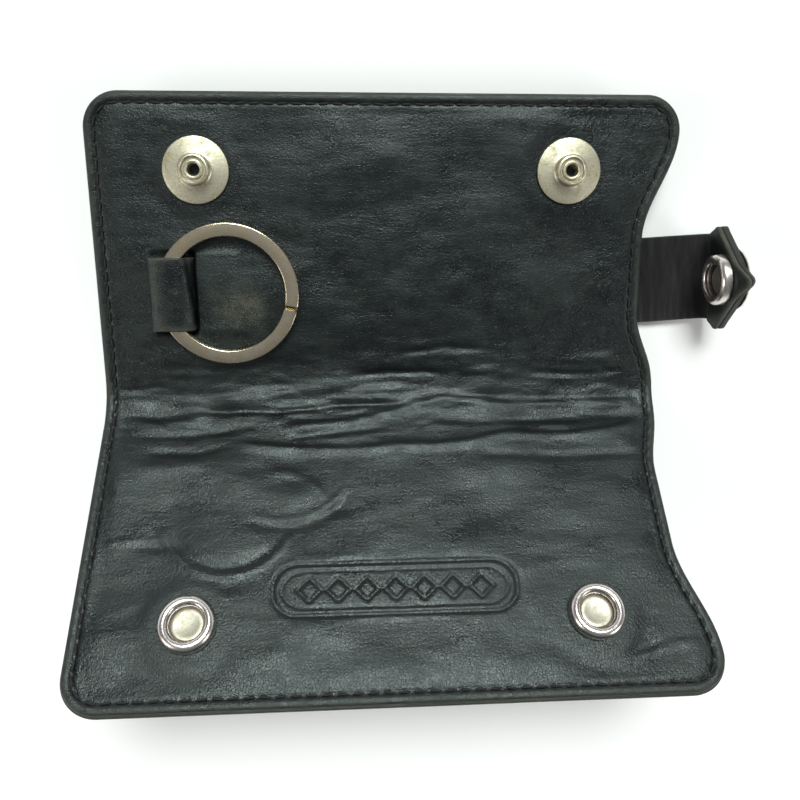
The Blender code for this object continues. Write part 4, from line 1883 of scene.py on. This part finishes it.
@dataclass(frozen=True)
class Strap:
    """The strap: its sewn root, the free length, and the pointed end with a second layer inside."""

    frames: Frames
    half: float = 10.0
    thick: float = 1.7
    facing: float = 1.0
    root: float = 32.0
    ease: float = 2.6
    shoulder: float = 6.0
    shoulder_half: float = 11.7
    tip: float = 18.5
    trim: float = 1.0  # how far the course runs on past the tip
    flare: float = 0.12
    curl_from: float = 15.0
    facing_from: float = 2.2
    columns: int = 64
    facing_columns: int = 56
    bend_reach: tuple[float, float] = (3.4, 3.0)  # how far the tab's bend would spread to each side; its ends are found but not used
    root_bend: float = 3.0
    root_seam: float = 8.0
    root_pitch: float = 3.0

    @property
    def free(self) -> float:
        """The free strap's length, as far apart as its two joints are."""
        return (joint_at("tab_bend") - joint_at("strap_bend")).length / MM

    def course(self) -> Course:
        """Along the strap and up into its end, which leans out towards the tip.

        Returns:
            The course.
        """
        length = self.free
        corner = np.array([length, 0.0])
        bend = Course.corner(corner - (self.ease, 0.0), corner, corner + (0.0, self.ease), 40)
        rise = np.linspace(self.ease, self.tip + self.trim, 60)[1:]
        lean = self.flare * np.maximum(rise - self.curl_from, 0.0) ** 2
        points = np.vstack([[[-self.root, 0.0]], bend, np.stack([length + lean, rise], axis=1)])
        turn = self.frames.strap.matrix.to_3x3()
        return Course(
            points=points,
            zero=self.root,
            origin=self.frames.strap.matrix.translation,
            across=-turn.col[1],
            along=turn.col[0],
            up=turn.col[2],
        )

    @property
    def end(self) -> float:
        """Where the strap's tip is on its course."""
        return self.course().length - self.root - self.trim

    def past(self, s: Array) -> Array:
        """Distance past the end's fold line, with what the bend cuts off its corner given back."""
        over = s - self.free
        return over + (self.free + self.tip - self.end) * smooth((over + 3.0) / 6.0)

    def half_width(self, u: Array) -> Array:
        """Half the width at u past the end's fold line.

        Args:
            u: Distances past the end's fold line.

        Returns:
            One number for each place.
        """
        stops = [(-99.0, self.half), (2.0, self.half), (self.shoulder - 1.4, self.shoulder_half - 0.55)]
        stops += [(self.shoulder - 0.4, self.shoulder_half), (self.shoulder + 0.3, self.shoulder_half)]
        stops += [(self.shoulder + 1.2, self.shoulder_half - 0.9), (self.tip - 1.1, 1.6)]
        stops += [(self.tip - 0.35, 0.95), (self.tip, 0.15)]
        return np.interp(u, *np.array(stops).T)

    def root_edge(self, x: Array, s: Array) -> Array:
        """Distance from the cut of the sewn root and the strap."""
        return np.minimum(self.half - np.abs(x), s + self.root)

    def end_edge(self, x: Array, s: Array) -> Array:
        """Distance from the cut of the strap and its pointed end.

        Args:
            x: Places across the leather.
            s: Places along it.

        Returns:
            One number for each place.
        """
        u = self.past(s)
        slope = np.where(u > self.shoulder + 1.0, 0.77, 1.0)
        sides = np.maximum((self.half_width(u) - np.abs(x)) * slope, 0.0)
        return np.minimum(sides, self.end - s)

    def facing_edge(self, x: Array, s: Array) -> Array:
        """Distance from the cut of the second layer."""
        return np.minimum(self.end_edge(x, s), s - self.free - self.facing_from)

    def wrinkled(self, x: Array, s: Array) -> Array:
        """Cross wrinkles where the strap has been bent to and fro."""
        found = 0.42 * ripple(x, s, 12.0, 2.0, 41.5) + 0.16 * ripple(x, s, 6.0, 0.9, 43.5)
        return found * smooth((s + 4.0) / 3.0) * smooth((self.free - 0.5 - s) / 2.5)

    def inner(self, x: Array, s: Array, edge: Array) -> Array:
        """The height of the flesh side."""
        return self.wrinkled(x, s) * 0.8 - rolled(edge, 0.35)

    def outer(self, x: Array, s: Array, edge: Array) -> Array:
        """The height of the grain side."""
        return self.wrinkled(x, s) * 0.3 - self.thick + rolled(edge, 0.5)

    def lift(self, s: Array) -> Array:
        """How far the second layer stands off the strap, which grows at the tip."""
        return FIT + 0.04 * np.maximum(self.past(s) - self.curl_from, 0.0) ** 2

    def facing_upper(self, x: Array, s: Array, edge: Array) -> Array:
        """The height of the second layer's face."""
        return self.lift(s) + self.facing - rolled(edge, 0.42)

    def facing_lower(self, x: Array, s: Array, edge: Array) -> Array:
        """The height of the second layer's back."""
        return self.lift(s) + rolled(edge, 0.2)

    def facing_wear(self, x: Array, s: Array, edge: Array) -> Array:
        """Where the second layer is rubbed."""
        return np.exp(-((edge / 0.6) ** 2))

    def build(self, looks: Finishes) -> None:
        """Makes the strap's leather, its stitches, and fits them.

        Args:
            looks: The wallet's finishes.
        """
        course, length, end = self.course(), self.free, self.end
        middle = length / 2
        tip_rows = end - np.array([0.8, 0.5, 0.25, 0.08, 0.0])

        rows = spaced((-self.root, -6.0, 1.1), (-6.0, middle, 0.28))
        even = np.full(len(rows), self.half)
        near = self.layer("strap_root_leather", course, rows, even, self.root_edge)
        near.split = len(rows) - 1
        near = self.two_faced(near, looks)
        fitted(near, Slot.STRAP, None, ["strap_root", "strap"])
        start, stop = course.point(0, -self.root_bend), course.point(0, self.root_bend)
        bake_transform(near)
        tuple(start)
        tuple(stop)

        rows = spaced((middle, length - 3.0, 0.28), (length - 3.0, end - 1.2, 0.3))
        rows = np.concatenate([rows, tip_rows])
        tapered = self.half_width(self.past(rows))
        far = self.layer("strap_end_leather", course, rows, tapered, self.end_edge)
        far.split = 0
        far = self.two_faced(far, looks)
        fitted(far, Slot.OUTER, None, ["tab_end", "strap"])
        start = course.point(0, length - self.bend_reach[0])
        stop = course.point(0, length + self.bend_reach[1])
        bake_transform(far)
        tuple(start)
        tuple(stop)

        rows = np.concatenate([spaced((length + self.facing_from, end - 1.2, 0.35)), tip_rows])
        facing = Sheet(
            name="strap_end_facing_leather",
            rows=rows,
            lattice=oblong(self.half_width(self.past(rows)), self.facing_columns),
            edge=self.facing_edge,
            upper=self.facing_upper,
            lower=self.facing_lower,
            course=course,
            wear=self.facing_wear,
        )
        fitted(facing.build(looks.lining), Slot.STRAP, "tab", ["tab_end_facing"])
        self.sewn_root(course, looks.thread)

    def layer(
        self, name: str, course: Course, rows: Array, half: Array, edge: Callable[[Array, Array], Array]
    ) -> Sheet:
        """One half of the strap, as wide as half says at each row."""
        lattice = oblong(half, self.columns)
        return Sheet(name, rows, lattice, edge, self.inner, self.outer, course)

    def sewn_root(self, course: Course, look: bpy.types.Material) -> None:
        """Makes the stitches round the strap's root.

        Args:
            course: What it is laid on.
            look: Its finish.
        """
        flat = Course(
            course.points[:2], self.root, course.origin, course.across, course.along, course.up
        )
        along = np.arange(-30.0, -self.root_pitch, self.root_pitch)
        across = np.arange(-6.0, 6.1, self.root_pitch)
        count = len(along), len(across)
        sides = [np.full(count[0], self.root_seam), np.full(count[0], -self.root_seam)]
        x = np.concatenate([*sides, across, across])
        s = np.concatenate([along, along, np.full(count[1], -30.2), np.full(count[1], -4.4)])
        way = np.concatenate([np.full(2 * count[0], math.pi / 2), np.zeros(2 * count[1])])
        sewn = stitched("strap_root_stitches", x, s, way, -self.thick - 0.02, flat, look)
        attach(sewn, "back_panel")

    def two_faced(self, sheet: Sheet, looks: Finishes) -> bpy.types.Object:
        """Builds one half, with suede inside and the cover's finish outside.

        Args:
            sheet: The half to build.
            looks: The wallet's finishes.

        Returns:
            The piece.
        """
        piece = sheet.build(looks.suede)
        piece.data.materials.append(looks.cover)
        heights = np.zeros(len(piece.data.vertices) * 3, np.float32)
        piece.data.attributes["place"].data.foreach_get("vector", heights)
        deep = heights.reshape(-1, 3)[:, 2] < -self.thick * 0.35
        for polygon in piece.data.polygons:
            if deep[list(polygon.vertices)].mean() > 0.4:
                polygon.material_index = 1
        return piece


# ---- studio ----------------------------------------------------------------------------------------


@dataclass(frozen=True)
class Studio:
    """The pale floor, the soft lights and the camera."""

    camera_at: Place = (-14.75, 11.40, 180.0)  # millimetres
    camera_way: Place = (0.05967, -0.09760, -0.99343)
    camera_up: Place = (0.01555, 0.99518, -0.09684)
    lens: float = 33.7
    room: tuple[Place, ...] = (  # height, shade, and its blue
        (0.0, 1.0, 1.0),
        (0.10, 1.0, 1.02),
        (0.24, 0.30, 0.306),
        (0.55, 0.18, 0.1836),
        (0.88, 0.24, 0.2448),
        (1.0, 0.40, 0.42),
    )

    def floor(self, look: bpy.types.Material) -> None:
        """A wide plain floor.

        Args:
            look: Its finish.
        """
        mesh = bmesh.new()
        bmesh.ops.create_grid(mesh, x_segments=4, y_segments=4, size=3.0)
        made = placed("floor", mesh, look)
        made.location.z = -0.0001

    def light(self, data: bpy.types.Light, at: Place, power: float, colour: Place) -> None:
        """A light that looks at the wallet from a place in metres.

        Args:
            data: The light.
            at: Its place, in metres.
            power: Its strength.
            colour: Its colour.
        """
        data.energy = power
        data.color = colour
        made = bpy.data.objects.new(data.name, data)
        made.location = at
        made.rotation_mode = "QUATERNION"
        made.rotation_quaternion = (-Vector(at)).to_track_quat("-Z", "Y")
        bpy.context.scene.collection.objects.link(made)

    def lights(self) -> None:
        """A broad soft window high up, and a small lamp at each side."""
        window = bpy.data.lights.new("window", "SUN")
        window.angle = math.radians(28.0)
        self.light(window, (0.04, 0.47, 0.73), 2.9, (0.945, 1.0, 0.98))
        for side, at, colour in (
            ("left", (-0.62, -0.20, 0.42), (1.0, 0.96, 0.92)),
            ("right", (0.62, -0.30, 0.40), (1.0, 0.98, 0.96)),
        ):
            lamp = bpy.data.lights.new(f"{side}_lamp", "AREA")
            lamp.shape = "RECTANGLE"
            lamp.size = lamp.size_y = 0.30
            self.light(lamp, at, 1.3, colour)

    def surroundings(self) -> None:
        """A pale room, darker overhead."""
        graph = Graph(bpy.data.worlds.new("room"))
        bpy.context.scene.world = graph.owner
        way = graph.out("ShaderNodeTexCoord", {}, {}, "Generated")
        height = graph.out("ShaderNodeSeparateXYZ", {}, {0: way}, "Z")
        stops = [(at, (shade, shade, blue, 1.0)) for at, shade, blue in self.room]
        colour = graph.out("ShaderNodeValToRGB", {"stops": stops}, {0: height})
        light = graph.out("ShaderNodeBackground", {}, {"Color": colour, "Strength": 0.80})
        graph.node("ShaderNodeOutputWorld", {}, {"Surface": light})

    def camera(self) -> None:
        """The camera, close above the wallet."""
        data = bpy.data.cameras.new("camera")
        data.lens = self.lens
        data.clip_start = 0.005
        made = bpy.data.objects.new("camera", data)
        way, up = Vector(self.camera_way).normalized(), Vector(self.camera_up)
        right = way.cross(up).normalized()
        turn = Matrix((right, right.cross(way), -way)).transposed()
        made.matrix_world = Matrix.Translation(Vector(self.camera_at) * MM) @ turn.to_4x4()
        bpy.context.scene.collection.objects.link(made)
        bpy.context.scene.camera = made

    def build(self, finishes: Finishes) -> None:
        """Sets up the studio.

        Args:
            finishes: The wallet's finishes.
        """
        self.camera()
        self.floor(finishes.paper)
        self.surroundings()
        self.lights()
        bpy.context.scene.view_settings.view_transform = "Standard"


# ---- the wallet ------------------------------------------------------------------------------------


def snaps(frames: Frames, strap: Strap) -> list[Snap]:
    """The two closing snaps and the strap's snap.

    Args:
        frames: Where the panels and joints are.
        strap: The strap.

    Returns:
        The snaps.
    """
    made = []
    for side, x in SNAP_X.items():
        made.append(
            Snap(
                name=f"closing_{side}",
                male=frames.back.moved(x, SNAP_T, 0.0),
                female=frames.front.moved(x, -SNAP_T, 0.0),
                male_body="back_panel",
                female_body="front_panel",
                flange=7.25,
                flange_h=0.7,
                rise=2.6,
                male_stack=PANEL_T,
                male_base=(5.0, 0.9),
                male_floor=2.7,
                female_stack=PANEL_T,
                socket_h=2.9,
                socket_floor=0.65,
            )
        )
    top = FIT + strap.facing
    made.append(
        Snap(
            name="tab",
            male=frames.front.moved(51.619, -24.140, -PANEL_T).turned(180.0, "X"),
            female=frames.tab.moved(10.0, 0.0, top),
            male_body="front_panel",
            female_body="tab",
            flange=5.5,
            flange_h=0.5,
            rise=1.65,
            male_stack=0.8,
            male_base=(4.0, 0.5),
            male_floor=1.78,
            female_stack=strap.thick + top,
            socket_h=2.4,
            socket_floor=0.4,
        )
    )
    return made


def main() -> None:
    logging.basicConfig(level=logging.INFO, format="%(message)s")
    finishes, frames = Finishes(), Frames()
    Studio().build(finishes)
    LeatherBody(frames, finishes).build()
    strap = Strap(frames)
    strap.build(finishes)
    loop = KeyLoop(frames)
    fitted(loop.build(finishes.lining), Slot.LINING, "back_panel", ["key_loop", "key_loop_tail"])
    sewn = loop.stitches(finishes.thread)
    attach(sewn, "back_panel")
    fitted(KeyRing(frames).build(finishes.ring), Slot.RING, "key_ring", ["key_ring"])
    for snap in snaps(frames, strap):
        snap.build(finishes, dull=snap.name != "tab")


if __name__ == "__main__":
    main()
